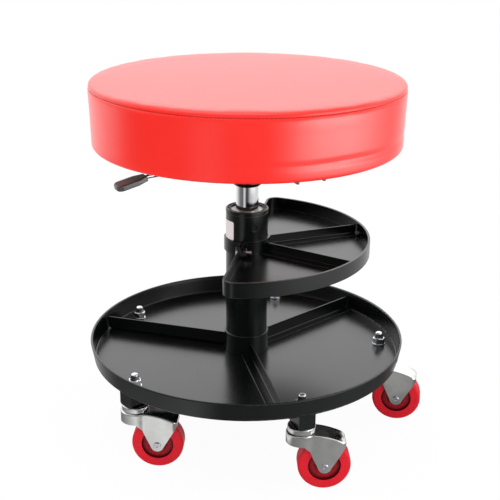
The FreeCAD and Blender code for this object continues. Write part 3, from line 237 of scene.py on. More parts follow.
@dataclass(frozen=True)
class Skin(Finish):
    """Coat, plastic, paper or thread: two tones in clouds, a fine grain; if set, edges lighter by
    wear and painted highlight, and painted shade in hollows.
    """

    tone: Point = (0.012, 0.012, 0.013)
    shade: Point = (0.02, 0.02, 0.021)
    rough: float = 0.38
    grain: Pair = (1500.0, 2.0)
    grain_deep: float = 0.03 * MM
    grain_share: float = 0.4
    edge_round: float = 0.5 * MM
    shine: float = 0.5
    cloud: Pair = (55.0, 3.0)
    cloud_span: Pair | None = None
    rough_spread: Pair = (0.12, 0.05)
    # Edge tone: rubbed wear, and a painted highlight on every sharp edge.
    edge_wear_and_highlight: Point | None = None
    patch: Pair = (90.0, 3.0)
    patch_span: Pair = (0.45, 0.7)
    edge_span: Pair = (0.03, 0.2)
    # Painted shade in the piece's own hollows: how far it reaches, its span of openness, and how
    # dark it gets.
    painted_shade_reach: float = 0.0
    painted_shade_span: Pair = (0.7, 1.0)
    painted_shade: float = 0.15

    def inputs(self, net: Net) -> dict:
        """Give the shader's sockets.

        Args:
            net: Tree to build in.

        Returns:
            Inputs by socket name.
        """
        cloud = net.noise(*self.cloud)
        fine = net.noise(*self.grain)
        rounded = net.rounded_normal(self.edge_round) if self.edge_round > 0.0 else None
        share = cloud.between(*self.cloud_span) if self.cloud_span else cloud
        colour = net.blend(share, self.tone, self.shade)
        # Lighter edges: a painted highlight on every sharp edge at half strength, raised to full by
        # patches of rubbed wear.
        if self.edge_wear_and_highlight:
            patches = net.noise(*self.patch).between(*self.patch_span)
            wear_and_highlight = net.edges(rounded).between(*self.edge_span) * (0.5 + 0.5 * patches)
            colour = net.blend(wear_and_highlight, colour, self.edge_wear_and_highlight)
        # Painted shade: in the piece's own hollows the colour darkens towards a dim copy of the
        # shade tone.
        if self.painted_shade_reach > 0.0:
            painted_shade = tuple(self.painted_shade * c for c in self.shade)
            unshaded_share = net.openness(self.painted_shade_reach).between(*self.painted_shade_span)
            colour = net.blend(unshaded_share, painted_shade, colour)
        cloud_rough, grain_rough = self.rough_spread
        return {
            "Base Color": colour,
            "Roughness": self.rough + cloud_rough * cloud + grain_rough * fine,
            "Specular IOR Level": self.shine,
            "Normal": net.bump(fine, self.grain_deep, self.grain_share, rounded),
        }


@dataclass(frozen=True)
class Metal(Finish):
    """Bare or plated metal: soft mottling, fine scuffs, roughness that varies."""

    tone: Point = (0.72, 0.73, 0.74)
    shade: Point = (0.56, 0.57, 0.58)
    rough: float = 0.16
    rough_spread: float = 0.12
    scuff: float = 700.0
    scuff_deep: float = 0.01 * MM
    edge_round: float = 0.4 * MM
    warp_deep: float = 0.0
    warp: float = 34.0
    mottle: float = 70.0
    scuff_stretch: Point = (1.0, 1.0, 0.25)

    def inputs(self, net: Net) -> dict:
        """Give the shader's sockets.

        Args:
            net: Tree to build in.

        Returns:
            Inputs by socket name.
        """
        mottle = net.noise(self.mottle, 5.0, rough=0.6)
        scuffs = net.noise(self.scuff, 3.0, net.mapped(self.scuff_stretch))
        rounded = net.rounded_normal(self.edge_round)
        if self.warp_deep > 0.0:
            rounded = net.bump(net.noise(self.warp, 1.0), self.warp_deep, 1.0, rounded)
        return {
            "Base Color": net.blend(mottle.between(*CLOUD_SPAN), self.tone, self.shade),
            "Metallic": 1.0,
            "Roughness": self.rough + self.rough_spread * mottle * scuffs,
            "Normal": net.bump(scuffs, self.scuff_deep, 0.5, rounded),
        }


@dataclass(frozen=True)
class Vinyl(Finish):
    """Glossy upholstery vinyl: pebble grain, faint clouding, slight shine loss in folds."""

    tone: Point = (0.88, 0.017, 0.010)
    shade: Point = (0.82, 0.014, 0.008)
    rough: float = 0.20
    shine: float = 0.57
    pebble: float = 1150.0
    pebble_deep: float = 0.03 * MM
    crease: float = 330.0
    crease_share: float = 0.3
    crease_stretch: Point = (1.0, 1.0, 1.6)
    cloud: float = 9.0
    cloud_span: Pair = (0.3, 0.75)

    def inputs(self, net: Net) -> dict:
        """Give the shader's sockets.

        Args:
            net: Tree to build in.

        Returns:
            Inputs by socket name.
        """
        cloud = net.noise(self.cloud, 4.0)
        pebbles = net.cells(self.pebble)
        creases = net.noise(self.crease, 3.0, net.mapped(self.crease_stretch))
        relief = (1.0 - self.crease_share) * pebbles + self.crease_share * creases
        return {
            "Base Color": net.blend(cloud.between(*self.cloud_span), self.tone, self.shade),
            "Roughness": self.rough + 0.05 * cloud + 0.02 * creases,
            "Specular IOR Level": self.shine,
            "Normal": net.bump(relief, self.pebble_deep, 0.5),
        }


@dataclass(frozen=True)
class Plywood(Finish):
    """Birch plywood: flat grain on the faces and plies on the edge."""

    tone: Point = (0.50, 0.33, 0.18)
    shade: Point = (0.31, 0.18, 0.085)
    ply: float = 1.7 * MM
    grain: float = 26.0
    grain_stretch: Point = (1.0, 14.0, 1.0)
    grain_span: Pair = (0.38, 0.66)
    ply_span: Pair = (-0.4, 0.4)
    edge_span: Pair = (0.3, 0.7)

    def inputs(self, net: Net) -> dict:
        """Give the shader's sockets.

        Args:
            net: Tree to build in.

        Returns:
            Inputs by socket name.
        """
        grain = net.noise(self.grain, 6.0, net.mapped(self.grain_stretch), 0.65)
        height = net.read("Z", "ShaderNodeSeparateXYZ", None, {0: net.place()})
        plies = (height * (math.pi / self.ply)).maths("SINE").between(*self.ply_span)
        facing = net.read("Normal", "ShaderNodeNewGeometry")
        upward = net.read("Z", "ShaderNodeSeparateXYZ", None, {0: facing})
        on_edge = 1.0 - upward.maths("ABSOLUTE").between(*self.edge_span)
        dark = grain.between(*self.grain_span) * (1.0 - on_edge) + plies * on_edge * 0.8
        return {
            "Base Color": net.blend(dark, self.tone, self.shade),
            "Roughness": 0.62 + 0.15 * grain,
            "Normal": net.bump(grain, 0.08 * MM, 0.5),
        }


COAT = Skin("black_powder_coat", (0.0017, 0.0023, 0.0023), (0.00272, 0.00368, 0.00368), 0.20,
            (620.0, 2.0), 0.05 * MM, 0.35, 0.6 * MM, cloud=(24.0, 4.0), cloud_span=CLOUD_SPAN,
            rough_spread=(0.05, 0.02), edge_wear_and_highlight=(0.13, 0.133, 0.135))


class Look(Enum):
    """The finishes of this seat."""

    BLACK_COAT = COAT
    WELD = replace(COAT, name="coated_weld", grain=(1500.0, 2.0), rough=0.36)
    FORK_PLATE = Metal("bright_fork_plate", (0.78, 0.78, 0.77), (0.70, 0.70, 0.69), 0.07, 0.08,
                       520.0, 0.004 * MM, 0.7 * MM, 2.4 * MM)
    ZINC = Metal("zinc_plate", (0.76, 0.77, 0.80), (0.62, 0.64, 0.67), 0.12, 0.16, 900.0)
    CHROME_TUBE = Metal("chromed_tube", (0.84, 0.84, 0.86), (0.78, 0.78, 0.80), 0.05, 0.05,
                        1200.0, 0.002 * MM)
    STEEL = Metal("plain_steel", (0.47, 0.46, 0.45), (0.33, 0.32, 0.31), 0.32, 0.25)
    SATIN_STEEL = Metal("satin_steel", (0.60, 0.60, 0.60), (0.50, 0.50, 0.50), 0.36, 0.2)
    BLACK_PLASTIC = Skin("black_plastic")
    # Black plastic in a lighter grey tone all over: a painted highlight for the grip's lit top.
    LEVER_GRIP = Skin("lever_grip_highlit_plastic", (0.055, 0.057, 0.057), (0.045, 0.046, 0.046), 0.26,
                      shine=0.8)
    # Red urethane wheel; painted shade darkens its recess.
    RED_WHEEL = Skin("red_wheel_urethane", (0.68, 0.008, 0.022), (0.62, 0.006, 0.018), 0.30,
                     (1100.0, 2.0), 0.02 * MM, edge_round=0.8 * MM, shine=0.22,
                     painted_shade_reach=14.0 * MM)
    RED_VINYL = Vinyl("red_vinyl")
    PLYWOOD = Plywood("birch_plywood")
    PAPER = Skin("blank_label_paper", (0.90, 0.84, 0.86), (0.83, 0.76, 0.78), 0.45, (900.0, 3.0),
                 0.01 * MM, edge_round=0.0, cloud=(120.0, 4.0), cloud_span=(0.4, 0.8),
                 rough_spread=(0.15, 0.0))
    THREAD = Skin("seam_thread", (0.36, 0.008, 0.010), (0.22, 0.006, 0.008), 0.6, (2600.0, 2.0),
                  0.05 * MM, 0.6, 0.0, cloud=(2600.0, 2.0), rough_spread=(0.2, 0.0))


NODES_OF_LOOK: dict[Look, str] = {
    Look.BLACK_COAT: "hub_sleeve leg_ lower_ upper_ column_tube clamp_strap seat_socket "
                     "seat_bracket lever_ears",
    Look.STEEL: "foot_plate thrust_washer piston_rod rod_clip valve_block valve_button",
    Look.ZINC: "caster_stems stem_washers cap_nuts seat_bolts tee_nuts lever_pin lever_rod "
               "clamp_bolts clamp_nuts axle_",
    Look.BLACK_PLASTIC: "guide_bush retaining_ring piston rod_gland",
    Look.FORK_PLATE: "swivel_races fork_",
    Look.SATIN_STEEL: "mouth_ring",
    Look.CHROME_TUBE: "lift_cylinder",
    Look.PLYWOOD: "seat_board",
    Look.LEVER_GRIP: "lever_grip",
    Look.RED_WHEEL: "wheel_",
    Look.RED_VINYL: "seat_cushion",
}
LOOK_OF_NODE = {key: look for look, keys in NODES_OF_LOOK.items() for key in keys.split()}


# Mesh tools


def shown(name: str, mesh: Mesh, look: Look | None = None) -> Piece:
    """Put a mesh in the scene.

    Args:
        name: Name of the piece.
        mesh: Its mesh, in place.
        look: Its finish, or None where the mesh has one.

    Returns:
        The object.
    """
    mesh.name = name
    if look is not None:
        mesh.materials.clear()
        mesh.materials.append(look.value.material())
    thing = bpy.data.objects.new(name, mesh)
    bpy.context.scene.collection.objects.link(thing)
    return thing


def attach(thing: Piece, body: str) -> None:
    """Let a piece ride on a body, and report it.

    Args:
        thing: The piece.
        body: Name of the body.
    """
    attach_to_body(thing, body)
    log.info("%s rides on %s: %d faces", thing.name, body, len(thing.data.polygons))


def mesh_of(build: bmesh.types.BMesh, smooth: bool = True) -> Mesh:
    """Turn a bmesh into a mesh, faces outward.

    Args:
        build: The bmesh, which is freed.
        smooth: Whether the faces are smooth.

    Returns:
        The mesh.
    """
    bmesh.ops.recalc_face_normals(build, faces=build.faces)
    for face in build.faces:
        face.smooth = smooth
    mesh = bpy.data.meshes.new("piece")
    build.to_mesh(mesh)
    build.free()
    return mesh


def revolved(profile: list[Pair], around: int) -> Mesh:
    """Turn a closed profile from pole to pole round the column axis.

    Args:
        profile: Radius and height of each point in metres; first and last are on the axis.
        around: Points in each ring.

    Returns:
        A closed mesh.
    """
    build = bmesh.new()
    turns = [2 * math.pi * k / around for k in range(around)]
    rings = []
    for radius, height in profile:
        if radius < ON_AXIS:
            rings.append([build.verts.new((0.0, 0.0, height))] * around)
        else:
            rings.append([build.verts.new((radius * math.cos(a), radius * math.sin(a), height))
                          for a in turns])
    for lower, upper in zip(rings, rings[1:]):
        for k in range(around):
            n = (k + 1) % around
            corners = [lower[k], lower[n], upper[n], upper[k]]
            build.faces.new(list(dict.fromkeys(corners)))
    return mesh_of(build)


def smooth_path(corners: list[Pair], step: float) -> list[Pair]:
    """Divide a profile's runs so that no step is longer than a limit.

    Args:
        corners: Radius and height of each corner.
        step: Longest step.

    Returns:
        The corners with points between them.
    """
    path = [corners[0]]
    for (r0, z0), (r1, z1) in zip(corners, corners[1:]):
        count = max(1, math.ceil(math.hypot(r1 - r0, z1 - z0) / step))
        path += [(r0 + (r1 - r0) * k / count, z0 + (z1 - z0) * k / count)
                 for k in range(1, count + 1)]
    return path


def arc(middle: Pair, radius: float, start: float, end: float, count: int) -> list[Pair]:
    """Give points on an arc, from one angle in degrees to another."""
    turns = [math.radians(start + (end - start) * k / count) for k in range(count + 1)]
    return [(middle[0] + radius * math.cos(a), middle[1] + radius * math.sin(a)) for a in turns]


def path_mesh(paths: list[list[Point]], closed: bool) -> Mesh:
    """Give polylines as a mesh of edges.

    Args:
        paths: Points of each line.
        closed: Whether each line joins its ends.

    Returns:
        The mesh.
    """
    points: list[Point] = []
    edges: list[tuple[int, int]] = []
    for path in paths:
        first = len(points)
        points += path
        edges += [(first + k, first + k + 1) for k in range(len(path) - 1)]
        if closed:
            edges.append((len(points) - 1, first))
    mesh = bpy.data.meshes.new("path")
    mesh.from_pydata(points, edges, [])
    return mesh


def ring(radius: float, height: float, count: int, middle: Pair = (0.0, 0.0)) -> list[Point]:
    """Give points on a level circle round a middle."""
    turns = [2 * math.pi * k / count for k in range(count)]
    return [(middle[0] + radius * math.cos(a), middle[1] + radius * math.sin(a), height)
            for a in turns]


@dataclass
class Repeat:
    """Repeats a small unit along lines with Geometry Nodes."""

    name: str
    spacing: float
    upright: bool = True
    turn_spread: float = 0.0
    size_spread: float = 0.0
    seed: int = 1

    def tree(self) -> bpy.types.GeometryNodeTree:
        """Build the node tree with its named inputs.

        Returns:
            The tree.
        """
        tree = bpy.data.node_groups.new(self.name, "GeometryNodeTree")
        sockets = {"Geometry": "Geometry", "Spacing": "Float", "Unit": "Object",
                   "Finish": "Material", "Turn Spread": "Float", "Size Spread": "Float",
                   "Seed": "Int"}
        for label, kind in sockets.items():
            tree.interface.new_socket(label, in_out="INPUT", socket_type=f"NodeSocket{kind}")
        tree.interface.new_socket("Geometry", in_out="OUTPUT", socket_type="NodeSocketGeometry")
        net = Net(tree)
        inlet = net.add("NodeGroupInput")
        given = {label: net.wire(inlet, label) for label in sockets}
        line = net.read(0, "GeometryNodeMeshToCurve", None, {"Mesh": given["Geometry"]})
        points = net.add("GeometryNodeCurveToPoints", {"mode": "LENGTH"},
                         {"Curve": line, "Length": given["Spacing"]})
        along = net.read(0, "FunctionNodeAlignRotationToVector",
                         {"axis": "X", "pivot_axis": "Z" if self.upright else "AUTO"},
                         {"Vector": net.wire(points, "Tangent")})
        spread = given["Turn Spread"]
        turn = net.read(RANDOM_RESULT, "FunctionNodeRandomValue", {"data_type": "FLOAT"},
                        {RANDOM_LOW: spread * -1.0, RANDOM_HIGH: spread, "Seed": given["Seed"]})
        angles = net.read(0, "ShaderNodeCombineXYZ", None, {"Z": turn})
        twist = net.read(0, "FunctionNodeEulerToRotation", None, {0: angles})
        facing = net.read(0, "FunctionNodeRotateRotation", {"rotation_space": "LOCAL"},
                          {"Rotation": along, "Rotate By": twist})
        size = net.read(RANDOM_RESULT, "FunctionNodeRandomValue", {"data_type": "FLOAT"},
                        {RANDOM_LOW: 1.0 - given["Size Spread"], RANDOM_HIGH: 1.0,
                         "Seed": given["Seed"]})
        unit = net.read("Geometry", "GeometryNodeObjectInfo", None, {"Object": given["Unit"]})
        copies = net.read(0, "GeometryNodeInstanceOnPoints", None,
                          {"Points": net.wire(points, "Points"), "Instance": unit,
                           "Rotation": facing, "Scale": size})
        real = net.read(0, "GeometryNodeRealizeInstances", None, {0: copies})
        dressed = net.read(0, "GeometryNodeSetMaterial", None,
                           {"Geometry": real, "Material": given["Finish"]})
        net.add("NodeGroupOutput", None, {"Geometry": dressed})
        return tree

    def along(self, lines: Mesh, unit: Mesh, look: Look) -> Piece:
        """Make the repeated piece as one plain mesh.

        Args:
            lines: Mesh of edges that the units follow.
            unit: Mesh of one unit at the origin, its length on X.
            look: Finish of the units.

        Returns:
            The piece.
        """
        host = shown(f"{self.name}_lines", lines)
        pattern = shown(f"{self.name}_unit", unit)
        tree = self.tree()
        values = {"Spacing": self.spacing, "Unit": pattern, "Finish": look.value.material(),
                  "Turn Spread": math.radians(self.turn_spread),
                  "Size Spread": self.size_spread, "Seed": self.seed}
        modifier = host.modifiers.new("Repeat", "NODES")
        modifier.node_group = tree
        for item in tree.interface.items_tree:
            if item.in_out == "INPUT" and item.name in values:
                modifier[item.identifier] = values[item.name]
        bpy.context.view_layer.update()
        graph = bpy.context.evaluated_depsgraph_get()
        mesh = bpy.data.meshes.new_from_object(host.evaluated_get(graph), depsgraph=graph)
        host.modifiers.remove(modifier)
        bpy.data.objects.remove(host)
        bpy.data.objects.remove(pattern)
        return shown(self.name, mesh)


def ball(size: Point, detail: int) -> Mesh:
    """Give a ball or a drop by its half sizes, centred on the origin."""
    build = bmesh.new()
    bmesh.ops.create_uvsphere(build, u_segments=detail, v_segments=max(4, detail * 3 // 4),
                              radius=1.0, matrix=Matrix.Diagonal((*size, 1.0)))
    return mesh_of(build)


def ripple(turn: float, count: float, layer: float) -> float:
    """Give a smooth noise round the column, by its cells in a radian and its layer."""
    return noise.noise((math.cos(turn) * count, math.sin(turn) * count, layer))


# Sub-assemblies


CLOTH: dict[str, float | bool] = {
    "quality": 6, "mass": 0.3, "tension_stiffness": 12.0, "compression_stiffness": 12.0,
    "bending_stiffness": 0.6, "use_pressure": True, "uniform_pressure_force": 3.0,
}


@dataclass
class Cushion:
    """Round vinyl cushion: crowned top, plain seam, drawn-in side, hem folded under the board."""

    board_radius: float = 165.35 * MM
    board_top: float = 373.1 * MM
    hem_radius: float = 149.0 * MM
    hem_top: float = 360.9 * MM
    hem_low: float = 359.9 * MM
    hem_lip: float = 0.4 * MM
    foot_radius: float = 178.3 * MM
    foot_round: float = 4.2 * MM
    side_mm: tuple[Pair, ...] = ((178.5, 370.0), (178.8, 385.0), (179.2, 400.0),
                                 (179.7, 412.0), (180.1, 421.0))
    seam_high: float = 427.4 * MM
    seam_radius: float = 180.2 * MM
    seam_deep: float = 1.3 * MM
    seam_half: float = 0.55 * MM
    shoulder_mm: tuple[Pair, ...] = ((179.4, 430.2), (178.6, 431.3), (177.4, 432.2),
                                     (175.8, 432.9), (173.0, 433.6), (168.0, 434.2))
    crown_high: float = 436.6 * MM
    around: int = 320
    under_step: float = 6.0 * MM
    cover_step: float = 3.2 * MM
    cage_around: int = 120
    cage_slim: float = 0.4 * MM
    cage_step: float = 5.0 * MM
    cage_foot: float = 6.0 * MM
    swell_cap: float = 1.6 * MM
    swell_frames: int = 20
    top_share: float = 0.3
    seam_calm: float = 4.0 * MM
    foot_calm: float = 9.0 * MM
    fold_deep: float = 0.42 * MM
    fold_wide: float = 0.055
    fold_pitch: float = 7.5 * MM
    gather_high: float = 409.0 * MM
    wrinkled_turn: float = math.radians(-112.0)
    pucker_deep: float = 0.22 * MM
    ledge_deep: float = 0.9 * MM
    ledge_slip: float = 2.0 * MM
    ledge_high: float = 377.5 * MM
    ledge_turn: float = math.radians(-42.0)
    dent_deep: float = 0.35 * MM
    dent_wide: float = 0.075
    pleat_deep: float = 0.7 * MM
    stitch_pitch: float = 4.3 * MM
    stitch: Point = (1.65 * MM, 0.32 * MM, 0.3 * MM)
    staple_pitch: float = 26.0 * MM
    staple: Point = (10.0 * MM, 1.1 * MM, 0.7 * MM)
    staple_edge: float = 0.25 * MM

    def outer(self) -> list[Pair]:
        """Give the outside of the cover from the foot to the middle of the top.

        Returns:
            Radius and height of each point.
        """
        foot = arc((self.foot_radius - self.foot_round, self.hem_low + self.foot_round),
                   self.foot_round, -80, 0, 7)
        groove = ((0.15 * MM, -3.0), (0.35 * MM, -1.6), (0.8 * self.seam_deep, -0.6),
                  (self.seam_deep, 0.0), (0.8 * self.seam_deep, 0.6), (0.5 * MM, 1.6))
        seam = [(self.seam_radius - deep, self.seam_high + high * self.seam_half)
                for deep, high in groove]
        side, shoulder = ([(r * MM, z * MM) for r, z in run]
                          for run in (self.side_mm, self.shoulder_mm))
        rim, rim_high = self.shoulder_mm[-1]
        drop = self.crown_high - rim_high * MM
        top = [(r * MM, self.crown_high - drop * (r / rim) ** 2) for r in range(160, 0, -8)]
        return foot + side + seam + shoulder + top + [(0.0, self.crown_high)]

    def cover(self) -> Piece:
        """Build the closed cover with fine rings.

        Returns:
            The cover.
        """
        inner = [(0.0, self.board_top), (self.board_radius, self.board_top),
                 (self.board_radius, self.hem_top), (self.hem_radius, self.hem_top),
                 (self.hem_radius - self.hem_lip, 0.5 * (self.hem_top + self.hem_low)),
                 (self.hem_radius, self.hem_low)]
        under = smooth_path(inner, self.under_step)
        path = under + smooth_path([inner[-1]] + self.outer(), self.cover_step)[1:]
        return shown("seat_cover", revolved(path, self.around), Look.RED_VINYL)

    def swollen(self) -> tuple[np.ndarray, np.ndarray, list[tuple[int, ...]]]:
        """Inflate a coarse copy of the cushion, held at its seam and its foot.

        Returns:
            Points before, points after, and the faces.
        """
        outside = [(max(r - self.cage_slim, 0.0), z) for r, z in self.outer()
                   if abs(z - self.seam_high) > 1.5 * self.seam_half]
        floor = [(0.0, self.hem_low), (self.hem_radius, self.hem_low)]
        cage = shown("cage", revolved(floor + outside, self.cage_around))
        voxels = cage.modifiers.new("Voxels", "REMESH")
        voxels.mode = "VOXEL"
        voxels.voxel_size = self.cage_step
        graph = bpy.context.evaluated_depsgraph_get()
        mesh = bpy.data.meshes.new_from_object(cage.evaluated_get(graph), depsgraph=graph)
        bpy.data.objects.remove(cage)
        bag = shown("bag", mesh)
        before = coordinates(mesh)
        held = bag.vertex_groups.new(name="held")
        radius = np.hypot(before[:, 0], before[:, 1])
        low = before[:, 2] < self.hem_low + self.cage_foot
        at_seam = (np.abs(before[:, 2] - self.seam_high) < 0.6 * self.cage_step) & (
            radius > self.board_radius)
        held.add([int(k) for k in np.nonzero(low | at_seam)[0]], 1.0, "REPLACE")
        cloth = bag.modifiers.new("Swell", "CLOTH")
        for key, value in CLOTH.items():
            setattr(cloth.settings, key, value)
        cloth.settings.vertex_group_mass = held.name
        cloth.settings.effector_weights.gravity = 0.0
        cloth.collision_settings.use_collision = False
        cloth.collision_settings.use_self_collision = False
        cloth.point_cache.frame_start = 1
        cloth.point_cache.frame_end = self.swell_frames
        scene = bpy.context.scene
        for step in range(1, self.swell_frames + 1):
            scene.frame_set(step)
        graph = bpy.context.evaluated_depsgraph_get()
        after = coordinates(bag.evaluated_get(graph).data)
        scene.frame_set(1)
        faces = [tuple(p.vertices) for p in mesh.polygons]
        bpy.data.objects.remove(bag)
        return before, after, faces

    def swell(self, cover: Piece) -> None:
        """Move the fine cover as the inflated copy moved.

        Args:
            cover: The cover.
        """
        before, after, faces = self.swollen()
        shift = after - before
        length = np.linalg.norm(shift, axis=1)
        shift *= np.minimum(1.0, self.swell_cap / np.maximum(length, TINY))[:, None]
        triangles = [t for f in faces for t in ((f[0], f[k], f[k + 1])
                                                for k in range(1, len(f) - 1))]
        tree = BVHTree.FromPolygons([Vector(p) for p in before], triangles)
        points = coordinates(cover.data)
        moved = points.copy()
        for index, point in enumerate(points):
            if not self.is_outside(point):
                continue
            spot, _, face, _ = tree.find_nearest(Vector(point))
            corners = triangles[face]
            weights = shares([before[c] for c in corners], np.array(spot))
            move = sum(w * shift[c] for w, c in zip(weights, corners))
            moved[index] += move * self.freedom(point)
        cover.data.vertices.foreach_set("co", moved.ravel())
        log.info("the cover swells by up to %.1f mm", np.abs(moved - points).max() / MM)

    def is_outside(self, point: np.ndarray) -> bool:
        """Tell whether a point of the cover is on its outside."""
        wide = math.hypot(point[0], point[1]) > self.board_radius + 2.0 * MM
        return (wide and point[2] > self.hem_low + 2.0 * MM) or point[2] > self.board_top + MM

    def freedom(self, point: np.ndarray) -> float:
        """Give how freely a point moves: not at the seam, little at the foot.

        Args:
            point: Point of the cover.

        Returns:
            Share of the full move.
        """
        from_seam = min(1.0, abs(point[2] - self.seam_high) / self.seam_calm)
        if point[2] > self.seam_high:
            return self.top_share * from_seam
        from_foot = (point[2] - self.hem_low - 2.0 * MM) / self.foot_calm
        return from_seam * min(1.0, max(0.0, from_foot))

    def side_push(self, radius: float, turn: float, high: float) -> float:
        """Give the push of the side's soft folds, its ledge and the puckers at the seam.

        Args:
            radius: Distance from the axis.
            turn: Direction in radians.
            high: Height.

        Returns:
            Move outward.
        """
        folds = noise.noise((radius * math.cos(turn) / self.fold_wide,
                             radius * math.sin(turn) / self.fold_wide, high / self.fold_pitch))
        where = 0.25 + 0.75 * bell(turn, self.wrinkled_turn, 0.35)
        on_side = bell(high, self.gather_high, 11.0 * MM)
        near_seam = bell(high, self.seam_high - 4.0 * MM, 3.2 * MM)
        soft = 0.15 + 0.85 * bell(turn, self.ledge_turn, 0.75)
        slip = self.ledge_slip * ripple(turn, 2.3, 3.0)
        ledge = bell(high, self.ledge_high + slip, 2.6 * MM)
        return (self.fold_deep * folds * where * on_side
                + self.pucker_deep * ripple(turn, 21.0, 5.0) * near_seam
                - self.ledge_deep * soft * ledge)

    def crease(self, cover: Piece) -> None:
        """Press in the folds of the side, the dents of the top and the hem's pleats.

        Args:
            cover: The cover.
        """
        points = coordinates(cover.data)
        for point in points:
            radius = math.hypot(point[0], point[1])
            turn = math.atan2(point[1], point[0])
            high = point[2]
            if radius > self.board_radius + 4.0 * MM and high > self.hem_low + 3.0 * MM:
                out = np.array((math.cos(turn), math.sin(turn), 0.0))
                point += out * self.side_push(radius, turn, high)
            elif high > self.board_top + MM:
                dents = noise.noise((point[0] / self.dent_wide, point[1] / self.dent_wide, 4.0))
                edge = bell(radius, self.shoulder_mm[-1][0] * MM, 9.0 * MM)
                puckers = self.pucker_deep * ripple(turn, 17.0, 1.0) * edge
                calm = max(0.0, min(1.0, (self.seam_radius - radius) / (12.0 * MM)))
                point[2] += calm * (self.dent_deep * dents + puckers)
            elif high < self.hem_low + 0.6 * MM:
                pleat = max(0.0, ripple(turn, 34.0, 8.0))
                point[2] -= self.pleat_deep * pleat * bell(radius, 160.0 * MM, 9.0 * MM)
        cover.data.vertices.foreach_set("co", points.ravel())
        cover.data.update()

    def stitches(self) -> Piece:
        """Sew the seam.

        Returns:
            The stitches.
        """
        reach = self.seam_radius - self.seam_deep + self.stitch[2]
        path = path_mesh([ring(reach, self.seam_high, 360)], True)
        sewn = Repeat("seam_stitches", self.stitch_pitch, size_spread=0.1)
        return sewn.along(path, ball(self.stitch, 6), Look.THREAD)

    def staples(self) -> Piece:
        """Staple the hem to the board's underside.

        Returns:
            The staples.
        """
        path = path_mesh([ring(self.hem_radius + 5.5 * MM, self.hem_low - 0.1 * MM, 180)], True)
        unit = bmesh.new()
        bmesh.ops.create_cube(unit, size=1.0, matrix=Matrix.Diagonal((*self.staple, 1.0)))
        bmesh.ops.bevel(unit, geom=list(unit.edges), offset=self.staple_edge, segments=1,
                        affect="EDGES", profile=0.5)
        stapled = Repeat("hem_staples", self.staple_pitch, turn_spread=9.0, seed=4)
        return stapled.along(path, mesh_of(unit), Look.ZINC)

    def build(self) -> None:
        """Make the cushion and everything sewn or stapled to it."""
        cover = self.cover()
        self.swell(cover)
        self.crease(cover)
        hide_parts("seat_cushion")
        attach(cover, "seat")
        attach(self.stitches(), "seat")
        attach(self.staples(), "seat")


def coordinates(mesh: Mesh) -> np.ndarray:
    """Give a mesh's points.

    Args:
        mesh: The mesh.

    Returns:
        One row for each point.
    """
    flat = np.zeros(len(mesh.vertices) * 3)
    mesh.vertices.foreach_get("co", flat)
    return flat.reshape(-1, 3)


def shares(corners: list[np.ndarray], spot: np.ndarray) -> tuple[float, float, float]:
    """Give the weights of a triangle's corners at a point on it.

    Args:
        corners: The three corners.
        spot: The point.

    Returns:
        The three weights.
    """
    a, b, c = corners
    across, up, to = b - a, c - a, spot - a
    d00, d01, d11 = across @ across, across @ up, up @ up
    d20, d21 = to @ across, to @ up
    area = d00 * d11 - d01 * d01
    if abs(area) < TINY_AREA:
        return 1.0, 0.0, 0.0
    v = (d11 * d20 - d01 * d21) / area
    w = (d00 * d21 - d01 * d20) / area
    return 1.0 - v - w, v, w


def bell(value: float, middle: float, width: float) -> float:
    """Give a smooth hump from 0 to 1, by its middle and how far it spreads."""
    return math.exp(-((value - middle) / width) ** 2)


@dataclass
class ColumnTrim:
    """The blank label that wraps round the column."""

    radius: float = 25.0 * MM
    label_turns: Pair = (163.0, 231.5)
    label_heights: Pair = (245.0 * MM, 267.6 * MM)
    label_gap: float = 0.02 * MM
    label_thick: float = 0.16 * MM
    label_corner: float = 1.5 * MM
    label_steps: int = 36

    def label(self) -> Piece:
        """Wrap the blank label round the column.

        Returns:
            The label.
        """
        steps = self.label_steps
        start, end = (math.radians(a) for a in self.label_turns)
        low, high = self.label_heights
        half = 0.5 * self.radius * (end - start)
        build = bmesh.new()
        rows = []
        for k in range(steps + 1):
            along = -half + 2 * half * k / steps
            into = max(0.0, self.label_corner - (half - abs(along)))
            cut = self.label_corner - math.sqrt(max(0.0, self.label_corner ** 2 - into ** 2))
            turn = 0.5 * (start + end) + along / self.radius
            rows.append([[build.verts.new((r * math.cos(turn), r * math.sin(turn), z))
                          for z in (low + cut, high - cut)]
                         for r in (self.radius + self.label_gap, self.radius + self.label_thick)])
        for first, second in zip(rows, rows[1:]):
            loop = [(0, 0), (1, 0), (1, 1), (0, 1)]
            for (i, j), (m, n) in zip(loop, loop[1:] + loop[:1]):
                build.faces.new([first[i][j], second[i][j], second[m][n], first[m][n]])
        for row in (rows[0], rows[-1]):
            build.faces.new([row[0][0], row[1][0], row[1][1], row[0][1]])
        return shown("column_label", mesh_of(build, False), Look.PAPER)

    def build(self) -> None:
        """Make the label."""
        attach(self.label(), "base")


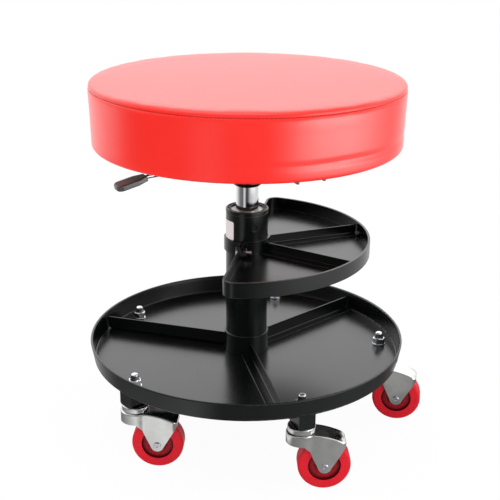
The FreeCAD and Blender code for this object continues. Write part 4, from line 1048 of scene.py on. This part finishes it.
@dataclass
class BaseDetail:
    """Welds that hold the legs to the sleeve, and the balls of the caster races."""

    leg_phase: float = 4.0
    leg_half: float = 10.0 * MM
    leg_low: float = 77.3 * MM
    leg_high: float = 96.6 * MM
    sleeve_radius: float = 26.85 * MM
    bead: Point = (0.9 * MM, 1.5 * MM, 1.5 * MM)
    bead_gap: float = 0.3 * MM
    bead_pitch: float = 1.1 * MM
    bend_steps: int = 5
    stem_circle: float = 165.7 * MM
    ball_circle: float = 11.9 * MM
    ball_radius: float = 2.35 * MM
    ball_high: float = 72.82 * MM
    ball_count: int = 14

    def leg_turns(self) -> list[float]:
        """Give the legs' directions."""
        return [math.radians(self.leg_phase + 360.0 / LEGS * k) for k in range(LEGS)]

    def welds(self) -> Piece:
        """Lay a rippled bead round the three open sides of each leg.

        Returns:
            The beads.
        """
        lines = []
        reach = math.sqrt(self.sleeve_radius ** 2 - self.leg_half ** 2)
        side = self.leg_half + self.bead_gap
        low = self.leg_low - self.bead_gap
        swing = math.atan2(side, reach)
        bend = [swing * (1 - k / self.bend_steps) for k in range(2 * self.bend_steps + 1)]
        under = [(self.sleeve_radius * math.cos(a), self.sleeve_radius * math.sin(a), low)
                 for a in bend]
        for turn in self.leg_turns():
            spin = Matrix.Rotation(turn, 3, "Z")
            path = [(reach, side, self.leg_high), *under, (reach, -side, self.leg_high)]
            lines.append([tuple(spin @ Vector(p)) for p in path])
        beads = Repeat("leg_welds", self.bead_pitch, False, 6.0, 0.18, 3)
        return beads.along(path_mesh(lines, False), ball(self.bead, 8), Look.WELD)

    def balls(self) -> Piece:
        """Fill the caster races with balls.

        Returns:
            The balls.
        """
        lines = [ring(self.ball_circle, self.ball_high, 6 * self.ball_count,
                      (self.stem_circle * math.cos(t), self.stem_circle * math.sin(t)))
                 for t in self.leg_turns()]
        unit = ball((self.ball_radius,) * 3, 10)
        pitch = 2 * math.pi * self.ball_circle / self.ball_count
        return Repeat("race_balls", pitch).along(path_mesh(lines, True), unit, Look.STEEL)

    def build(self) -> None:
        """Make the welds and the balls."""
        attach(self.welds(), "base")
        attach(self.balls(), "base")


# Studio


@dataclass
class Studio:
    """Pale floor, soft light and the camera."""

    camera_at: Point = (0.0, -1.1817, 0.6573)
    lens: float = 75.542
    sensor: float = 36.0
    down: float = 0.34974
    turned: float = -0.00322
    rolled: float = 0.00723
    floor_radius: float = 9.0
    floor_sides: int = 96
    paint: Point = (0.92, 0.92, 0.92)
    ambient: float = 1.1
    brightest: float = 8.4
    sky_bands: tuple[Pair, ...] = (
        (-180, 1.15), (-125, 1.2), (-95, 0.7), (-60, 0.25), (0, 0.2), (30, 0.3), (60, 0.9),
        (95, 0.9), (125, 0.9), (180, 1.15))
    far_bands: tuple[Pair, ...] = (
        (-180, 1.15), (-150, 1.1), (-125, 1.4), (-104, 1.4), (-91, 0.4), (-80, 0.0), (-46, 0.0),
        (-38, 0.2), (-26, 0.7), (-12, 0.2), (14, 0.2), (26, 2.0), (38, 6.5), (50, 8.4),
        (72, 8.0), (90, 4.0), (103, 1.8), (118, 0.8), (140, 1.0), (180, 1.15))
    middle_bands: tuple[Pair, ...] = (
        (-180, 1.0), (-125, 1.0), (-100, 0.55), (-74, 0.2), (-44, 0.14), (-27, 0.85), (-9, 0.05),
        (8, 0.10), (27, 0.5), (75, 0.8), (122, 0.8), (180, 1.0))
    near_bands: tuple[Pair, ...] = (
        (-180, 0.9), (-110, 0.6), (-80, 0.2), (-48, 0.5), (-26, 0.85), (-13, 0.22),
        (8, 0.26), (30, 0.36), (55, 0.34), (88, 0.15), (130, 0.3), (180, 0.9))
    glow_share: float = 0.96
    near_radius: Pair = (0.36, 0.48)
    far_radius: Pair = (0.95, 1.6)
    sky_radius: Pair = (2.4, 3.6)
    upper_gain: float = 0.75
    upper_heights: Pair = (0.19, 0.36)
    gain_end: Pair = (0.5, 0.75)
    aim: Point = (0.0, 0.0, 0.3)

    def camera(self) -> None:
        """Set up the camera at the photograph's place."""
        cy, sy = math.cos(self.turned), math.sin(self.turned)
        ct, st = math.cos(self.down), math.sin(self.down)
        ahead = Vector((-sy * ct, cy * ct, -st))
        right = Vector((cy, sy, 0.0))
        up = Vector((-sy * st, cy * st, ct))
        cr, sr = math.cos(self.rolled), math.sin(self.rolled)
        axes = Matrix((cr * right + sr * up, -sr * right + cr * up, -ahead)).transposed()
        data = bpy.data.cameras.new("camera")
        data.lens = self.lens
        data.sensor_width = self.sensor
        camera = bpy.data.objects.new("camera", data)
        bpy.context.scene.collection.objects.link(camera)
        camera.matrix_world = Matrix.Translation(self.camera_at) @ axes.to_4x4()
        bpy.context.scene.camera = camera

    @staticmethod
    def rays(net: Net) -> tuple[Wire, Wire]:
        """Tell rays from the camera, seen through glass too, and glossy rays.

        Args:
            net: Tree to build in.

        Returns:
            The two shares.
        """
        path = net.add("ShaderNodeLightPath")
        seen = net.wire(path, "Is Camera Ray") + net.wire(path, "Is Transmission Ray")
        return seen, net.wire(path, "Is Glossy Ray")

    def by_direction(self, net: Net, where: Wire, bands: tuple[Pair, ...]) -> Wire:
        """Give a brightness by direction round the column.

        Args:
            net: Tree to build in.
            where: Direction, or place on the floor.
            bands: Degrees from the front, positive to the right, and level.

        Returns:
            The level.
        """
        parts = net.add("ShaderNodeSeparateXYZ", None, {0: where})
        back = net.wire(parts, "Y") * -1.0
        turn = net.wire(parts, "X").maths("ARCTAN2", back) / (2 * math.pi) + 0.5
        stops = [((a + 180.0) / 360.0, level / self.brightest) for a, level in bands]
        return self.brightest * net.read(0, "ShaderNodeValToRGB", {"stops": stops}, {"Fac": turn})

    def floor(self) -> None:
        """Lay the floor, which glossy rays see as rings of light and dark bands."""
        mesh = bpy.data.meshes.new("floor")
        corners = ring(self.floor_radius, 0.0, self.floor_sides)
        mesh.from_pydata(corners, [], [list(range(self.floor_sides))])
        floor = shown("floor", mesh)
        material = bpy.data.materials.new("pale_floor")
        material.use_nodes = True
        material.node_tree.nodes.clear()
        net = Net(material.node_tree)
        seen, glossy = self.rays(net)
        spot = net.place()
        away = net.read("Value", "ShaderNodeVectorMath", {"operation": "LENGTH"}, {0: spot})
        room = self.by_direction(net, spot, self.near_bands)
        for span, bands in ((self.near_radius, self.middle_bands),
                            (self.far_radius, self.far_bands), (self.sky_radius, self.sky_bands)):
            room = net.blend(away.between(*span), room, self.by_direction(net, spot, bands))
        glow = net.read(0, "ShaderNodeEmission", None,
                        {"Color": net.blend(glossy, WHITE, room), "Strength": 1.0})
        paint = net.read(0, "ShaderNodeBsdfDiffuse", None, {"Color": (*self.paint, 1.0)})
        mixed = net.read(0, "ShaderNodeMixShader", None,
                         {0: seen * self.glow_share + glossy, 1: paint, 2: glow})
        net.add("ShaderNodeOutputMaterial", None, {"Surface": mixed})
        mesh.materials.append(material)

    def world(self) -> None:
        """Light the room evenly, and show it white."""
        world = bpy.data.worlds.new("room")
        bpy.context.scene.world = world
        world.use_nodes = True
        world.node_tree.nodes.clear()
        net = Net(world.node_tree)
        seen, glossy = self.rays(net)
        way = net.read("Generated", "ShaderNodeTexCoord")
        height = net.read("Z", "ShaderNodeSeparateXYZ", None, {0: way})
        gain = height.between(*self.upper_heights) * (1.0 - height.between(*self.gain_end))
        room = self.by_direction(net, way, self.sky_bands) * (1.0 + self.upper_gain * gain)
        level = net.blend(seen, net.blend(glossy, (self.ambient,) * 3, room), WHITE)
        sky = net.read(0, "ShaderNodeBackground", None, {"Color": level, "Strength": 1.0})
        net.add("ShaderNodeOutputWorld", None, {"Surface": sky})

    def lamp(self, name: str, at: Point, size: Pair, level: float) -> None:
        """Hang one soft light that faces the seat.

        Args:
            name: Name of the light.
            at: Its place.
            size: Width and height.
            level: Brightness of its face.
        """
        data = bpy.data.lights.new(name, "AREA")
        data.shape = "RECTANGLE"
        data.size, data.size_y = size
        data.energy = level * math.pi * size[0] * size[1]
        lamp = bpy.data.objects.new(name, data)
        bpy.context.scene.collection.objects.link(lamp)
        lamp.location = at
        lamp.rotation_mode = "QUATERNION"
        lamp.rotation_quaternion = (Vector(self.aim) - Vector(at)).to_track_quat("-Z", "Y")
        lamp.visible_camera = False

    def build(self) -> None:
        """Make the studio."""
        bpy.context.scene.view_settings.view_transform = "Standard"
        self.camera()
        self.floor()
        self.world()
        self.lamp("overhead_light", at=(-0.3, -0.2, 2.1), size=(1.6, 1.6), level=1.0)
        self.lamp("right_light", at=(1.15, -0.75, 0.55), size=(0.8, 0.9), level=1.6)
        log.info("studio is ready")


# Main


def dress_nodes() -> None:
    """Give every solid its finish."""
    for name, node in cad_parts.items():
        keys = [key for key in LOOK_OF_NODE if name.startswith(key)]
        look = LOOK_OF_NODE[max(keys, key=len)]
        if not node.data.materials:
            node.data.materials.append(look.value.material())
        for place in node.material_slots:
            place.material = look.value.material()
        log.info("%s is finished as %s", name, look.value.name)


def main() -> None:
    """Build the scene in order."""
    logging.basicConfig(level=logging.INFO, format="%(message)s")
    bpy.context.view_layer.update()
    dress_nodes()
    parts: list[Callable[[], None]] = [Cushion().build, ColumnTrim().build,
                                       BaseDetail().build, Studio().build]
    for build in parts:
        build()


if __name__ == "__main__":
    main()
